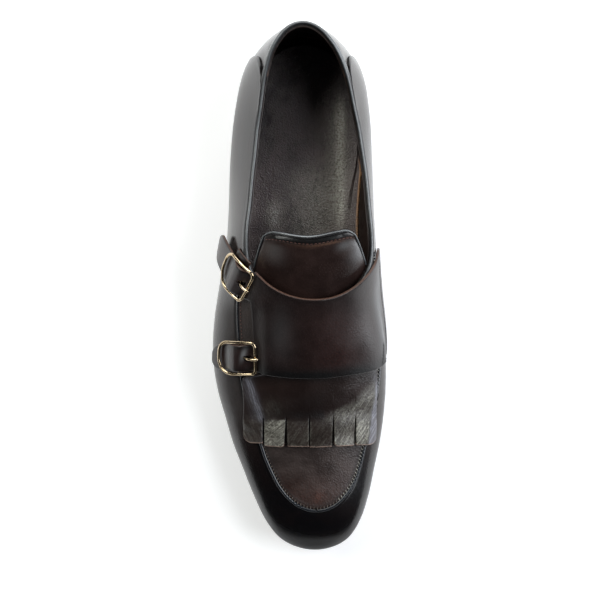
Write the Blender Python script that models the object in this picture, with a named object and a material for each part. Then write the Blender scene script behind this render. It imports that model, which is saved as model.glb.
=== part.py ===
# Double-strap fringed loafer, right shoe, standing empty on its sole.
#
# Frame: the origin is on the ground at the middle of the heel, +Y points to the heel's back,
# -Y to the toe, +X to the inner (medial) side and +Z up. Lengths below are in millimetres and
# become metres where a vertex is placed. "s" is the distance from the back of the heel towards
# the toe, "girth" the distance around a cross-section from its ridge, positive to the inner side.

import math

import bmesh
import bpy
import numpy as np

MM = 0.001

LENGTH = 294.3  # back of the heel cup to the toe tip
ORIGIN_S = 38.0  # the origin's distance from the back of the heel
WALL = 2.0  # upper leather and its lining
GAP = 0.35  # clearance between neighbouring pieces
SOLE_THICK = 4.5
SOLE_MARGIN = 1.2  # how far the sole shows beyond the upper's lower edge
INSOLE_THICK = 3.0
INSOLE_MARGIN = 0.8  # clearance round the insole, inside the upper
HEEL_FRONT = 74.0
HEEL_BOW = 4.0  # hollow of the heel's front face
TOP_LIFT_THICK = 6.0
HEEL_TAPER = 2.5  # the heel draws in by this from the sole down to the ground
HEEL_HEIGHT = 22.0
HEEL_FRONT_TAPER = 25.0  # length over which the front face takes up that taper
THROAT = 163.0  # where the opening closes on the ridge
TONGUE_THICK = 2.4
TONGUE_DEPTH = WALL + 3 * GAP  # from the last's surface to the tongue's upper face
TONGUE_BASE = 172.0
KILTIE_THICK = 1.5
KILTIE_BACK = 180.0
KILTIE_SLIT = 216.6
KILTIE_FRONT = 233.0
SLIT_WIDTH = 0.9
KILTIE_LIFT = 2 * GAP
KILTIE_NARROW = 0.44  # its back, under the straps, is cut in by this share on the outer side
KILTIE_NARROW_S = (190.5, 194.0)
PANEL_THICK = 1.6
HEEL_LEAN = 1.7  # forward lean of the heel cup's back at its top
LEAN_FROM = 45.0
LEAN_HEIGHT = 36.0
LEAN_FADE = 60.0
RISE = 0.3  # height of the lower wall's control point, as a share of the wall

# Plan of the upper at its widest: half width and the x of its middle.
PLAN_COLUMNS = ("s", "half", "middle")
PLAN = (
    (0.0, 0.0, 0.0),
    (7.0, 20.3, 0.0),
    (17.0, 29.6, 0.0),
    (30.0, 34.9, 0.0),
    (47.0, 37.9, -0.4),
    (75.0, 40.0, -1.0),
    (104.0, 41.1, -1.1),
    (118.0, 42.0, -1.2),
    (132.0, 43.8, -1.8),
    (146.0, 45.7, -2.2),
    (160.0, 47.7, -2.4),
    (175.0, 49.1, -2.2),
    (189.0, 49.2, -1.6),
    (204.0, 47.8, -0.4),
    (218.0, 45.2, 1.0),
    (233.0, 41.9, 2.1),
    (247.0, 37.7, 3.4),
    (262.0, 33.2, 4.8),
    (276.0, 27.6, 5.8),
    (287.6, 19.3, 6.6),
    (294.3, 0.0, 7.1),
)

# Cross-sections: heights of the widest point on each side, the ridge, and how full each side's
# curve is between them (0 is a straight line, 0.55 an ellipse).
PROFILE_COLUMNS = ("s", "outer_z", "inner_z", "ridge_x", "ridge_z", "outer_full", "inner_full")
PROFILE = (
    (0.0, 42.0, 42.0, 0.0, 100.0, 0.41, 0.41),
    (14.0, 42.0, 42.0, 0.2, 100.0, 0.33, 0.40),
    (30.0, 42.0, 43.0, 1.0, 100.0, 0.225, 0.335),
    (57.0, 40.0, 44.0, 1.5, 98.0, 0.18, 0.36),
    (71.0, 38.0, 43.0, 2.0, 97.0, 0.23, 0.46),
    (98.0, 33.0, 40.0, 3.4, 95.0, 0.40, 0.68),
    (115.0, 31.0, 37.0, 4.0, 92.0, 0.53, 0.82),
    (130.0, 30.0, 34.0, 4.0, 85.0, 0.56, 0.82),
    (150.0, 28.0, 30.0, 4.0, 75.5, 0.48, 0.58),
    (170.0, 26.0, 28.0, 4.5, 65.5, 0.47, 0.50),
    (190.0, 25.0, 26.0, 5.0, 56.5, 0.50, 0.50),
    (210.0, 24.0, 25.0, 5.0, 49.5, 0.51, 0.51),
    (230.0, 23.0, 24.0, 5.7, 44.2, 0.53, 0.53),
    (250.0, 23.0, 23.0, 6.6, 40.5, 0.56, 0.56),
    (265.0, 22.0, 22.0, 7.6, 38.0, 0.60, 0.60),
    (275.0, 22.0, 22.0, 7.8, 35.8, 0.63, 0.63),
    (283.0, 22.0, 22.0, 7.6, 32.5, 0.64, 0.64),
    (290.0, 22.0, 22.0, 7.3, 27.5, 0.60, 0.60),
    (294.3, 22.0, 22.0, 7.1, 22.0, 0.60, 0.60),
)

# The sole: height of its underside, and how far the upper tucks in below its widest line.
SOLE_COLUMNS = ("s", "under_z", "outer_tuck", "inner_tuck")
SOLE = (
    (0.0, 23.0, 4.0, 4.0),
    (40.0, 21.8, 4.0, 4.0),
    (74.0, 20.0, 5.0, 6.0),
    (90.0, 17.8, 6.0, 10.0),
    (110.0, 14.0, 7.0, 13.5),
    (130.0, 9.5, 7.0, 13.0),
    (150.0, 5.0, 6.0, 9.0),
    (170.0, 1.5, 4.5, 5.5),
    (185.0, 0.0, 3.5, 4.0),
    (215.0, 0.0, 3.0, 3.0),
    (230.0, 1.2, 3.0, 3.0),
    (250.0, 3.6, 3.0, 3.0),
    (270.0, 7.5, 3.0, 3.0),
    (294.3, 13.0, 3.0, 3.0),
)

TOPLINE_COLUMNS = ("s", "z")
TOPLINE = (
    (0.0, 81.0),
    (14.0, 79.0),
    (30.0, 73.5),
    (47.0, 69.5),
    (57.0, 67.5),
    (71.0, 67.0),
    (85.0, 67.0),
    (98.0, 68.0),
    (115.0, 69.8),
    (131.0, 69.3),
    (148.0, 68.8),
    (163.0, 69.0),
    (180.0, 69.0),
    (294.3, 69.0),
)


def along(s):
    """0 at the heel, 1 at the toe; equal steps crowd the sections towards both round ends."""
    return np.arccos(np.clip(1 - 2 * np.asarray(s, float) / LENGTH, -1, 1)) / math.pi


def station(u):
    """The inverse of along."""
    return LENGTH * (1 - np.cos(math.pi * np.asarray(u, float))) / 2


def column(table, names, name, s, heel=1, toe=1):
    """One column at s, on a smooth curve through its rows. heel and toe are 1 where the column
    mirrors about that end and -1 where it runs on through it."""
    index = names.index(name)
    knots = along([row[0] for row in table])
    values = np.array([row[index] for row in table])
    knots = np.concatenate([[-knots[1]], knots, [2 - knots[-2]]])
    before = values[0] + heel * (values[1] - values[0])
    after = values[-1] + toe * (values[-2] - values[-1])
    values = np.concatenate([[before], values, [after]])
    steps = np.diff(knots)
    slopes = np.diff(values) / steps
    inner = (slopes[:-1] * steps[1:] + slopes[1:] * steps[:-1]) / (steps[:-1] + steps[1:])
    slopes = np.concatenate([[inner[0]], inner, [inner[-1]]])
    u = along(s)
    i = np.clip(np.searchsorted(knots, u, side="right") - 1, 1, len(knots) - 3)
    t = (u - knots[i]) / steps[i]
    rest = 1 - t
    held = (1 + 2 * t) * rest * rest * values[i] + (3 - 2 * t) * t * t * values[i + 1]
    turned = t * rest * steps[i] * (rest * slopes[i] - t * slopes[i + 1])
    return held + turned


def outline(s, side):
    """x of the upper's widest line. side is 1 on the inner side and -1 on the outer side."""
    half = column(PLAN, PLAN_COLUMNS, "half", s, -1, -1)
    return column(PLAN, PLAN_COLUMNS, "middle", s) + side * half


def outline_normal(s, side):
    """(x, s) of the plan outline's outward direction."""
    u = along(s)
    low = np.clip(u - 0.002, 0, 1)
    high = np.clip(u + 0.002, 0, 1)
    run_s = station(high) - station(low)
    run_x = outline(station(high), side) - outline(station(low), side)
    size = np.hypot(run_s, run_x)
    return side * run_s / size, -side * run_x / size


def by_side(table, names, kind, s, side):
    """The outer or inner column, whichever the side asks for."""
    outer = column(table, names, "outer_" + kind, s)
    inner = column(table, names, "inner_" + kind, s)
    return np.where(side > 0, inner, outer)


def under_z(s):
    """Height of the sole's underside, flat under the ball of the foot."""
    return np.maximum(column(SOLE, SOLE_COLUMNS, "under_z", s), 0.0)


def tucked(s, side, more):
    """Plan point (x, s) of the upper's lower edge, moved inwards by more."""
    normal_x, normal_s = outline_normal(s, side)
    inward = by_side(SOLE, SOLE_COLUMNS, "tuck", s, side) + more
    return outline(s, side) - inward * normal_x, s - inward * normal_s


def section(s, side, t):
    """Points of the last: t is 0 at the lower edge, 1 at the widest line and 2 on the ridge.
    s, side and t are arrays of one shape; the result is x, s, z stacked last."""
    wide_x = outline(s, side)
    wide_z = by_side(PROFILE, PROFILE_COLUMNS, "z", s, side)
    full = by_side(PROFILE, PROFILE_COLUMNS, "full", s, side)
    ridge_x = column(PROFILE, PROFILE_COLUMNS, "ridge_x", s)
    ridge_z = column(PROFILE, PROFILE_COLUMNS, "ridge_z", s, 1, -1)
    edge_x, edge_s = tucked(s, side, 0.0)
    edge_z = under_z(s) + SOLE_THICK + GAP

    low = np.clip(t, 0, 1)
    away = (1 - low) ** 2
    bend = 2 * (1 - low) * low
    low_x = away * edge_x + (1 - away) * wide_x
    low_s = away * edge_s + (1 - away) * s
    low_z = away * edge_z + bend * (edge_z + RISE * (wide_z - edge_z)) + low**2 * wide_z

    high = np.clip(t - 1, 0, 1)
    rest = 1 - high
    weights = (rest**3, 3 * rest**2 * high, 3 * rest * high**2, high**3)
    xs = (wide_x, wide_x, ridge_x + full * (wide_x - ridge_x), ridge_x)
    zs = (wide_z, wide_z + full * (ridge_z - wide_z), ridge_z, ridge_z)
    high_x = sum(weight * value for weight, value in zip(weights, xs))
    high_z = sum(weight * value for weight, value in zip(weights, zs))

    x = np.where(t < 1, low_x, high_x)
    z = np.where(t < 1, low_z, high_z)
    fade = np.clip(1 - s / LEAN_FADE, 0, 1) ** 2
    lean = HEEL_LEAN * np.clip((z - LEAN_FROM) / LEAN_HEIGHT, 0, None) ** 2 * fade
    return np.stack([x, np.where(t < 1, low_s, s) + lean, z], axis=-1)


def placed(points):
    """(x, s, z) in millimetres to the shoe's own frame, still in millimetres."""
    return np.stack([points[..., 0], ORIGIN_S - points[..., 1], points[..., 2]], axis=-1)


def shell(s, side, t, depth):
    """A point of the last moved inwards by depth along its normal."""
    u = np.clip(along(s), 0.003, 0.997)
    t_in = np.clip(t, 0.003, 1.99)
    ahead = placed(section(station(u + 0.002), side, t_in))
    behind = placed(section(station(u - 0.002), side, t_in))
    up = placed(section(station(u), side, t_in + 0.002))
    down = placed(section(station(u), side, t_in - 0.002))
    normal = np.cross(ahead - behind, up - down) * -side[..., None]
    normal /= np.linalg.norm(normal, axis=-1, keepdims=True)
    return placed(section(s, side, t)) - depth * normal


def topline_t(s, side):
    """t at which the collar's edge lies; 2 where the upper is closed over the foot."""
    ts = np.linspace(1, 2, 81)
    rows = np.broadcast_to(s[:, None], (len(s), len(ts)))
    sides = np.broadcast_to(side[:, None], rows.shape)
    heights = section(rows, sides, np.broadcast_to(ts, rows.shape))[..., 2]
    wanted = column(TOPLINE, TOPLINE_COLUMNS, "z", s)
    found = [np.interp(z, row, ts) for z, row in zip(wanted, heights)]
    return np.where(s > THROAT - 0.01, 2.0, np.array(found))


GIRTH_T = np.linspace(2, 0, 97)


def girths(s, side):
    """Section points from the ridge down to the lower edge, and their distance from the ridge."""
    rows = np.broadcast_to(s[:, None], (len(s), len(GIRTH_T)))
    sides = np.broadcast_to(side[:, None], rows.shape)
    points = placed(section(rows, sides, np.broadcast_to(GIRTH_T, rows.shape)))
    steps = np.linalg.norm(np.diff(points, axis=1), axis=-1)
    return points, np.concatenate([np.zeros((len(s), 1)), np.cumsum(steps, axis=1)], axis=1)


def on_last(s, girth):
    """Points of the last at these distances around from the ridge."""
    side = np.where(girth < 0, -1.0, 1.0)
    points, run = girths(s, side)
    reach = np.abs(girth)[:, None]
    i = np.clip((run <= reach).sum(axis=1) - 1, 0, len(GIRTH_T) - 2)
    row = np.arange(len(s))
    share = (reach[:, 0] - run[row, i]) / (run[row, i + 1] - run[row, i])
    return points[row, i] + share[:, None] * (points[row, i + 1] - points[row, i])


def lifted(s, girth, lift):
    """A point lift above the upper's outer face."""
    ahead = on_last(s + 1.0, girth)
    behind = on_last(s - 1.0, girth)
    right = on_last(s, girth + 1.0)
    left = on_last(s, girth - 1.0)
    normal = np.cross(ahead - behind, right - left)
    normal /= np.linalg.norm(normal, axis=-1, keepdims=True)
    lift = np.broadcast_to(lift, s.shape)
    return on_last(s, girth) + lift[:, None] * normal


def girth_at(s, x):
    """Distance around from the ridge at which the section reaches this x."""
    side = np.where(x < column(PROFILE, PROFILE_COLUMNS, "ridge_x", s), -1.0, 1.0)
    points, run = girths(s, side)
    half = GIRTH_T >= 1
    found = []
    for row in range(len(s)):
        reach = points[row, half, 0] * side[row]
        found.append(side[row] * np.interp(x[row] * side[row], reach, run[row, half]))
    return np.array(found)


def smooth(value, start, end):
    """0 before start, 1 after end, with no corner between."""
    t = np.clip((value - start) / (end - start), 0, 1)
    return t * t * (3 - 2 * t)


def between(table, key, index):
    """A value read from a short table on a smooth curve, the key in its first column."""
    knots = np.array([row[0] for row in table])
    values = np.array([row[index] for row in table])
    slopes = np.gradient(values, knots)
    key = np.clip(key, knots[0], knots[-1])
    i = np.clip(np.searchsorted(knots, key, side="right") - 1, 0, len(knots) - 2)
    step = knots[i + 1] - knots[i]
    t = (key - knots[i]) / step
    rest = 1 - t
    held = (1 + 2 * t) * rest * rest * values[i] + (3 - 2 * t) * t * t * values[i + 1]
    return held + t * rest * step * (rest * slopes[i] - t * slopes[i + 1])


def clear_scene():
    for obj in list(bpy.data.objects):
        bpy.data.objects.remove(obj, do_unlink=True)


def finish_of(name, colour, roughness, metallic=0.0):
    material = bpy.data.materials.new(name)
    material.use_nodes = True
    shader = material.node_tree.nodes["Principled BSDF"]
    shader.inputs["Base Color"].default_value = (*colour, 1.0)
    shader.inputs["Roughness"].default_value = roughness
    shader.inputs["Metallic"].default_value = metallic
    return material


def shares_of(bm):
    """Where each grid vertex lies: across and along its grid, and which grid it is in."""
    return [bm.verts.layers.float.get(label) for label in ("across", "along", "patch")]


def put(bm, verts, place, level):
    """Moves the vertices to the points that place gives for their shares, in millimetres."""
    shares = np.array([[vert[layer] for layer in shares_of(bm)] for vert in verts])
    points = place(shares[:, 0], shares[:, 1], shares[:, 2].round(), level) * MM
    for vert, point in zip(verts, points):
        vert.co = point


def grids(patches, place):
    """One mesh of several grids, each (columns, rows), welded where they meet."""
    bm = bmesh.new()
    labels = [bm.verts.layers.float.new(label) for label in ("across", "along", "patch")]
    for patch, (columns, rows) in enumerate(patches):
        made = bmesh.ops.create_grid(bm, x_segments=columns, y_segments=rows, size=0.5)
        for vert in made["verts"]:
            for label, share in zip(labels, (vert.co.x + 0.5, vert.co.y + 0.5, patch)):
                vert[label] = share
    put(bm, bm.verts[:], place, 0.0)
    bmesh.ops.remove_doubles(bm, verts=bm.verts[:], dist=1e-6)
    return bm


def thicken(bm, place):
    """Extrudes the whole sheet into a closed solid, its far face at level 1."""
    made = bmesh.ops.extrude_face_region(bm, geom=bm.faces[:])
    far_verts = [part for part in made["geom"] if isinstance(part, bmesh.types.BMVert)]
    put(bm, far_verts, place, 1.0)


def add_object(name, bm, material, smooth_angle=40.0):
    bmesh.ops.recalc_face_normals(bm, faces=bm.faces[:])
    if bm.calc_volume(signed=True) < 0:
        bmesh.ops.reverse_faces(bm, faces=bm.faces[:])
    mesh = bpy.data.meshes.new(name)
    bm.to_mesh(mesh)
    bm.free()
    mesh.shade_smooth()
    mesh.set_sharp_from_angle(angle=math.radians(smooth_angle))
    mesh.materials.append(material)
    obj = bpy.data.objects.new(name, mesh)
    bpy.context.scene.collection.objects.link(obj)
    return obj


def solid_sheet(name, patches, place, material):
    bm = grids(patches, place)
    thicken(bm, place)
    return add_object(name, bm, material)


# Sole, heel and insole: each is a plan grid, p from heel to toe and q from the outer to the inner
# side, given a lower and an upper face.


def plan_grid(s, q, more):
    """(x, s) across the shoe at share q, inside the lower edge of the upper by more."""
    outer_x, outer_s = tucked(s, -1.0, more)
    inner_x, inner_s = tucked(s, 1.0, more)
    return outer_x + q * (inner_x - outer_x), outer_s + q * (inner_s - outer_s)


def outsole(material):
    def place(p, q, patch, level):
        x, s = plan_grid(station(p), q, -SOLE_MARGIN)
        return placed(np.stack([x, s, under_z(s) + level * SOLE_THICK], axis=-1))

    return solid_sheet("outsole", [(36, 6)], place, material)


def insole(material):
    def place(p, q, patch, level):
        x, s = plan_grid(station(p), q, WALL + INSOLE_MARGIN)
        z = under_z(s) + SOLE_THICK + GAP + level * INSOLE_THICK
        return placed(np.stack([x, s, z], axis=-1))

    return solid_sheet("insole", [(34, 4)], place, material)


def heel_block(name, low, high, material):
    """A slice of the heel between two heights; high is None where it meets the sole."""

    def place(p, q, patch, level):
        u_front = along(HEEL_FRONT)
        s_line = station(p * u_front)
        top = under_z(s_line) - GAP if high is None else np.full_like(p, high)
        z = low + level * (top - low)
        taper = HEEL_TAPER * (1 - z / HEEL_HEIGHT)
        x, s = plan_grid(s_line, q, -SOLE_MARGIN + taper)
        hollow = HEEL_BOW * (1 - (2 * q - 1) ** 2) * (s_line / HEEL_FRONT) ** 4
        s = s - hollow - taper * smooth(s_line, HEEL_FRONT - HEEL_FRONT_TAPER, HEEL_FRONT)
        top = under_z(s) - GAP if high is None else top
        return placed(np.stack([x, s, low + level * (top - low)], axis=-1))

    return solid_sheet(name, [(14, 6)], place, material)


# The upper: one hollow shell of two sides, welded at the heel, the toe and the closed ridge.

LOW_ROWS = 4
HIGH_ROWS = 10
STATIONS = np.concatenate(
    [
        np.linspace(0.0, along(146.0), 17),
        along([151.0, 155.5, 159.0, 161.5]),
        np.linspace(along(THROAT), 1.0, 18),
    ]
)


def upper(material):
    rows = LOW_ROWS + HIGH_ROWS

    def place(p, q, patch, level):
        side = np.where(patch > 0.5, 1.0, -1.0)
        s = station(np.interp(p * (len(STATIONS) - 1), range(len(STATIONS)), STATIONS))
        row = np.where(patch > 0.5, 1 - q, q) * rows
        high = (topline_t(s, side) - 1) * (row - LOW_ROWS) / HIGH_ROWS
        t = np.where(row < LOW_ROWS, row / LOW_ROWS, 1 + high)
        return shell(s, side, t, WALL * level)

    columns = len(STATIONS) - 1
    return solid_sheet("upper", [(columns, rows), (columns, rows)], place, material)


# Tongue and kiltie: sheets inside and outside the upper's crown.

TONGUE_EDGE_COLUMNS = ("share", "top_s")
TONGUE_EDGE = (
    (0.0, 118.5),
    (0.08, 116.6),
    (0.25, 118.6),
    (0.5, 120.0),
    (0.75, 118.3),
    (0.92, 116.0),
    (1.0, 118.0),
)
TONGUE_SIDE_COLUMNS = ("s", "outer_girth", "inner_girth")
TONGUE_SIDE = (
    (116.0, -26.0, 24.5),
    (121.0, -31.0, 29.0),
    (131.0, -35.5, 37.0),
    (145.0, -38.0, 40.0),
    (172.0, -30.0, 30.0),
)


def tongue(material):
    def place(p, q, patch, level):
        top = between(TONGUE_EDGE, q, TONGUE_EDGE_COLUMNS.index("top_s"))
        s = top + p * (TONGUE_BASE - top)
        outer = between(TONGUE_SIDE, s, TONGUE_SIDE_COLUMNS.index("outer_girth"))
        inner = between(TONGUE_SIDE, s, TONGUE_SIDE_COLUMNS.index("inner_girth"))
        depth = TONGUE_DEPTH + level * TONGUE_THICK
        return lifted(s, outer + q * (inner - outer), -depth)

    return solid_sheet("tongue", [(12, 14)], place, material)


FRINGE_X = (-33.7, -22.0, -9.0, 3.8, 17.0, 29.5, 42.3)  # slit lines, outer to inner edge
FRINGE_COLUMNS = 2
KILTIE_ROWS = (KILTIE_BACK, 185.0, *KILTIE_NARROW_S, 206.0, KILTIE_SLIT, 225.0, KILTIE_FRONT)
ROWS_PAST_SLIT = 2


def kiltie_lines():
    """x of each column of the kiltie's grid: fringes with a narrow slit column between them."""
    lines = []
    for left, right in zip(FRINGE_X, FRINGE_X[1:]):
        start = left + (SLIT_WIDTH / 2 if left != FRINGE_X[0] else 0.0)
        end = right - (SLIT_WIDTH / 2 if right != FRINGE_X[-1] else 0.0)
        lines += list(np.linspace(start, end, FRINGE_COLUMNS + 1))
    return np.array(lines)


def kiltie(material):
    lines = kiltie_lines()
    last_row = len(KILTIE_ROWS) - 1

    def place(p, q, patch, level):
        s = np.interp(p * last_row, range(len(KILTIE_ROWS)), KILTIE_ROWS)
        x = np.interp(q * (len(lines) - 1), range(len(lines)), lines)
        girth = girth_at(s, x)
        narrow = KILTIE_NARROW * (1 - smooth(s, *KILTIE_NARROW_S))
        girth = np.where(girth < 0, girth * (1 - narrow), girth)
        return lifted(s, girth, KILTIE_LIFT + level * KILTIE_THICK)

    bm = grids([(last_row, len(lines) - 1)], place)
    across, along_grid, _ = shares_of(bm)
    slit_from = 1 - ROWS_PAST_SLIT / last_row
    slits = []
    for face in bm.faces:
        q = np.mean([vert[along_grid] for vert in face.verts])
        p = np.mean([vert[across] for vert in face.verts])
        in_slit = int(q * (len(lines) - 1)) % (FRINGE_COLUMNS + 1) == FRINGE_COLUMNS
        if p > slit_from and in_slit:
            slits.append(face)
    bmesh.ops.delete(bm, geom=slits, context="FACES")
    thicken(bm, place)
    return add_object("kiltie", bm, material)


# The strap panel: a bridge over the instep whose outer side is cut into two straps.

PANEL_COLUMNS = ("share", "back_s", "front_s")
PANEL = (
    (0.0, 135.5, 190.9),
    (0.1, 141.9, 191.9),
    (0.2, 146.6, 192.7),
    (0.3, 149.4, 193.1),
    (0.4, 150.1, 193.2),
    (0.5, 148.5, 192.8),
    (0.6, 143.8, 192.0),
    (0.7, 136.4, 191.1),
    (0.8, 129.2, 190.2),
    (0.9, 124.3, 188.0),
    (1.0, 122.2, 181.5),
)
PANEL_SIDE_COLUMNS = ("s", "outer_girth", "inner_girth")
PANEL_SIDE = (
    (121.0, -31.0, 61.5),
    (135.0, -31.0, 62.0),
    (150.0, -34.5, 61.5),
    (161.0, -33.4, 58.6),
    (173.0, -32.5, 54.8),
    (182.0, -30.5, 51.0),
    (193.0, -29.0, 47.0),
)
# Ranges over which the panel climbs onto the kiltie: along s, and in girth on either side.
RIDE_BACK = (166.0, 174.0)
RIDE_OUTER = (-29.8, -25.3)
RIDE_INNER = (44.0, 50.0)
REAR_SHARE = 0.29  # the rear strap's part of the panel's outer edge
FRONT_SHARE = 0.71  # the front strap's part starts here

# Each strap's line: the buckle's near bar lies at start, the strap runs on towards its tip.
# Each lies on a leather tab, hinges on the tab's pin and may stand off the shoe at its end.
STRAP_COLUMNS = ("name", "start_s", "start_girth", "turn", "length", "end_rise", "tab_back")
STRAPS = (
    ("rear", 143.9, -35.2, 34.0, 46.0, 1.4, 11.0),
    ("front", 182.4, -30.7, 0.0, 31.0, 0.0, 6.8),
)
STRAP_HALF = 7.4
TIP_LENGTH = 9.0
TAB_THICK = 0.9
ON_TAB = (2.0, 8.0)
HUMP = 2.35  # the strap's further rise over the hinge pin
HUMP_UP = (1.5, 9.0)
HUMP_DOWN = (11.0, 19.0)
END_RISE = (24.0, 40.0)
STRAP_STOPS = (0.0, 2.5, 4.5, 6.5, 8.6, 10.0, 11.5, 14.0, 17.0, 20.0, 24.0, 28.0, 34.0)
TIP_SHARES = (0.0, 0.45, 0.8, 1.0)


def strap_value(strap, name):
    return strap[STRAP_COLUMNS.index(name)]


def strap_line(strap, a, b):
    """(s, girth) of a point a along the strap and b across it."""
    start_s, start_girth, turn = strap[1:4]
    ahead_s, ahead_g = -math.sin(math.radians(turn)), -math.cos(math.radians(turn))
    return start_s + a * ahead_s - b * ahead_g, start_girth + a * ahead_g + b * ahead_s


def on_strap(strap, a, b, lift):
    s, girth = strap_line(strap, a, b)
    return lifted(s, girth, lift)


def panel_lift(s, girth):
    """Height of the panel's lower face: it rides over the kiltie."""
    inside = smooth(girth, *RIDE_OUTER) * (1 - smooth(girth, *RIDE_INNER))
    return GAP + smooth(s, *RIDE_BACK) * inside * (KILTIE_THICK + KILTIE_LIFT)


def strap_lift(strap, a):
    """Height of the strap's lower face: over the tab, over the pin, then off the shoe."""
    hump = HUMP * smooth(a, *HUMP_UP) * (1 - smooth(a, *HUMP_DOWN))
    tab = (TAB_THICK + GAP) * smooth(a, *ON_TAB)
    return GAP + tab + hump + strap_value(strap, "end_rise") * smooth(a, *END_RISE)


def strap_stops(strap):
    """Distances along a strap at which its grid has a line."""
    tip_start = strap_value(strap, "length") - TIP_LENGTH
    stops = [a for a in STRAP_STOPS if a < tip_start - 1.5]
    return np.array(stops + [tip_start + TIP_LENGTH * share for share in TIP_SHARES])


# The bridge's grid lines from back to front; the straps' own lines meet these at its outer edge.
BODY_STOPS = (0.0, REAR_SHARE / 2, REAR_SHARE, 0.43, 0.57, FRONT_SHARE, (1 + FRONT_SHARE) / 2, 1.0)
BODY_COLUMNS = 22


def panel_body(share, q):
    """(s, girth) on the bridge: share from its back edge to its front, q outer to inner."""
    back = between(PANEL, q, PANEL_COLUMNS.index("back_s"))
    front = between(PANEL, q, PANEL_COLUMNS.index("front_s"))
    s = back + share * (front - back)
    outer = between(PANEL_SIDE, s, PANEL_SIDE_COLUMNS.index("outer_girth"))
    inner = between(PANEL_SIDE, s, PANEL_SIDE_COLUMNS.index("inner_girth"))
    return s, outer + q * (inner - outer)


def strap_grid(strap, p, share_range, q):
    """(s, girth, lift) on a strap: p from the bridge's edge to the tip, q across it."""
    stops = np.concatenate([[0.0], strap_stops(strap)])
    step = p * (len(stops) - 1)
    a = np.interp(step, range(len(stops)), stops)
    length = stops[-1]
    short = np.clip((a - (length - TIP_LENGTH)) / TIP_LENGTH, 0, 1)
    half = STRAP_HALF * np.sqrt(1 - 0.9 * short**2)
    s, girth = strap_line(strap, a, half * (2 * q - 1))
    edge_s, edge_girth = panel_body(share_range[0] + q * np.ptp(share_range), np.zeros_like(q))
    at_edge = step < 0.5
    lift = np.where(at_edge, panel_lift(edge_s, edge_girth), strap_lift(strap, a))
    return np.where(at_edge, edge_s, s), np.where(at_edge, edge_girth, girth), lift


def strap_panel(material):
    ranges = ((0.0, REAR_SHARE), (FRONT_SHARE, 1.0))

    def place(p, q, patch, level):
        share = np.interp(p * (len(BODY_STOPS) - 1), range(len(BODY_STOPS)), BODY_STOPS)
        s, girth = panel_body(share, q)
        lift = panel_lift(s, girth)
        for number, (strap, share_range) in enumerate(zip(STRAPS, ranges), start=1):
            mine = patch == number
            found = strap_grid(strap, p, share_range, q)
            s, girth, lift = [
                np.where(mine, new, old) for new, old in zip(found, (s, girth, lift))
            ]
        return lifted(s, girth, lift + level * PANEL_THICK)

    patches = [(len(BODY_STOPS) - 1, BODY_COLUMNS)]
    patches += [(len(strap_stops(strap)), 2) for strap in STRAPS]
    return solid_sheet("strap_panel", patches, place, material)


# Buckles: frame, hinge pin, prong and the leather tab that holds the pin. They follow the
# strap's own line, so each is bent to the shoe.

FRAME_LENGTH = 22.6  # between the middles of the near bar and the far end
FRAME_HALF = 8.8
FRAME_WIRE = 0.9
FRAME_LIFT = 3.35
FRAME_TILT = 1.25  # the far end lies higher than the near bar
NEAR_RADIUS = 3.0
FAR_RADIUS = 8.0
PIN_AT = 10.0
PIN_WIRE = 0.7
PIN_LIFT = 2.9
PRONG_WIRE = 0.75
PRONG_TIP = 0.6
PRONG_PAST = 2.4  # how far its tip lies past the near bar
PRONG_BEND = (4.0, 4.35)  # a and lift where it comes up through the strap
ROD_POINT = 0.4  # length of a rod's pointed end
ROD_SIDES = 7
TAB_FROM = 7.0
TAB_TO = 21.5
TAB_FRONT = 6.8


def frame_outline(steps=4):
    """(a, b) around the frame's middle line: tight near corners, wide far ones."""
    path = []
    corners = (
        (NEAR_RADIUS, 1, -1, 180.0),
        (FAR_RADIUS, -1, -1, 270.0),
        (FAR_RADIUS, -1, 1, 0.0),
        (NEAR_RADIUS, 1, 1, 90.0),
    )
    for radius, inward, side, start in corners:
        middle_a = radius if inward > 0 else FRAME_LENGTH - radius
        middle_b = side * (FRAME_HALF - radius)
        for angle in np.radians(start + np.linspace(0, 90, steps + 1)):
            path.append((middle_a + radius * math.cos(angle), middle_b + radius * math.sin(angle)))
    return np.array(path)


def buckle_frame(strap, material):
    path = frame_outline()
    turns = np.roll(path, -1, axis=0) - np.roll(path, 1, axis=0)
    turns /= np.linalg.norm(turns, axis=1, keepdims=True)
    count = len(path)

    def place(p, q, patch, level):
        i = (p * count).round().astype(int) % count
        angle = 2 * math.pi * q
        out = FRAME_WIRE * np.cos(angle)
        a = path[i, 0] + out * turns[i, 1]
        b = path[i, 1] - out * turns[i, 0]
        lift = FRAME_LIFT + FRAME_TILT * a / FRAME_LENGTH
        return on_strap(strap, a, b, lift + FRAME_WIRE * np.sin(angle))

    return add_object(strap[0] + "_buckle_frame", grids([(count, ROD_SIDES)], place), material)


def rod(name, strap, route, wires, material):
    """A rod along route, rows of (a, b, lift), with pointed ends; wires are its radii."""
    route = np.array(route)
    runs = np.gradient(route[:, :2], axis=0)
    runs /= np.linalg.norm(runs, axis=1, keepdims=True)

    def place(p, q, patch, level):
        i = (p * (len(route) - 1)).round().astype(int)
        angle = 2 * math.pi * q
        wire = np.array(wires)[i]
        a = route[i, 0] + wire * np.cos(angle) * runs[i, 1]
        b = route[i, 1] - wire * np.cos(angle) * runs[i, 0]
        return on_strap(strap, a, b, route[i, 2] + wire * np.sin(angle))

    return add_object(name, grids([(len(route) - 1, ROD_SIDES)], place), material)


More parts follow.
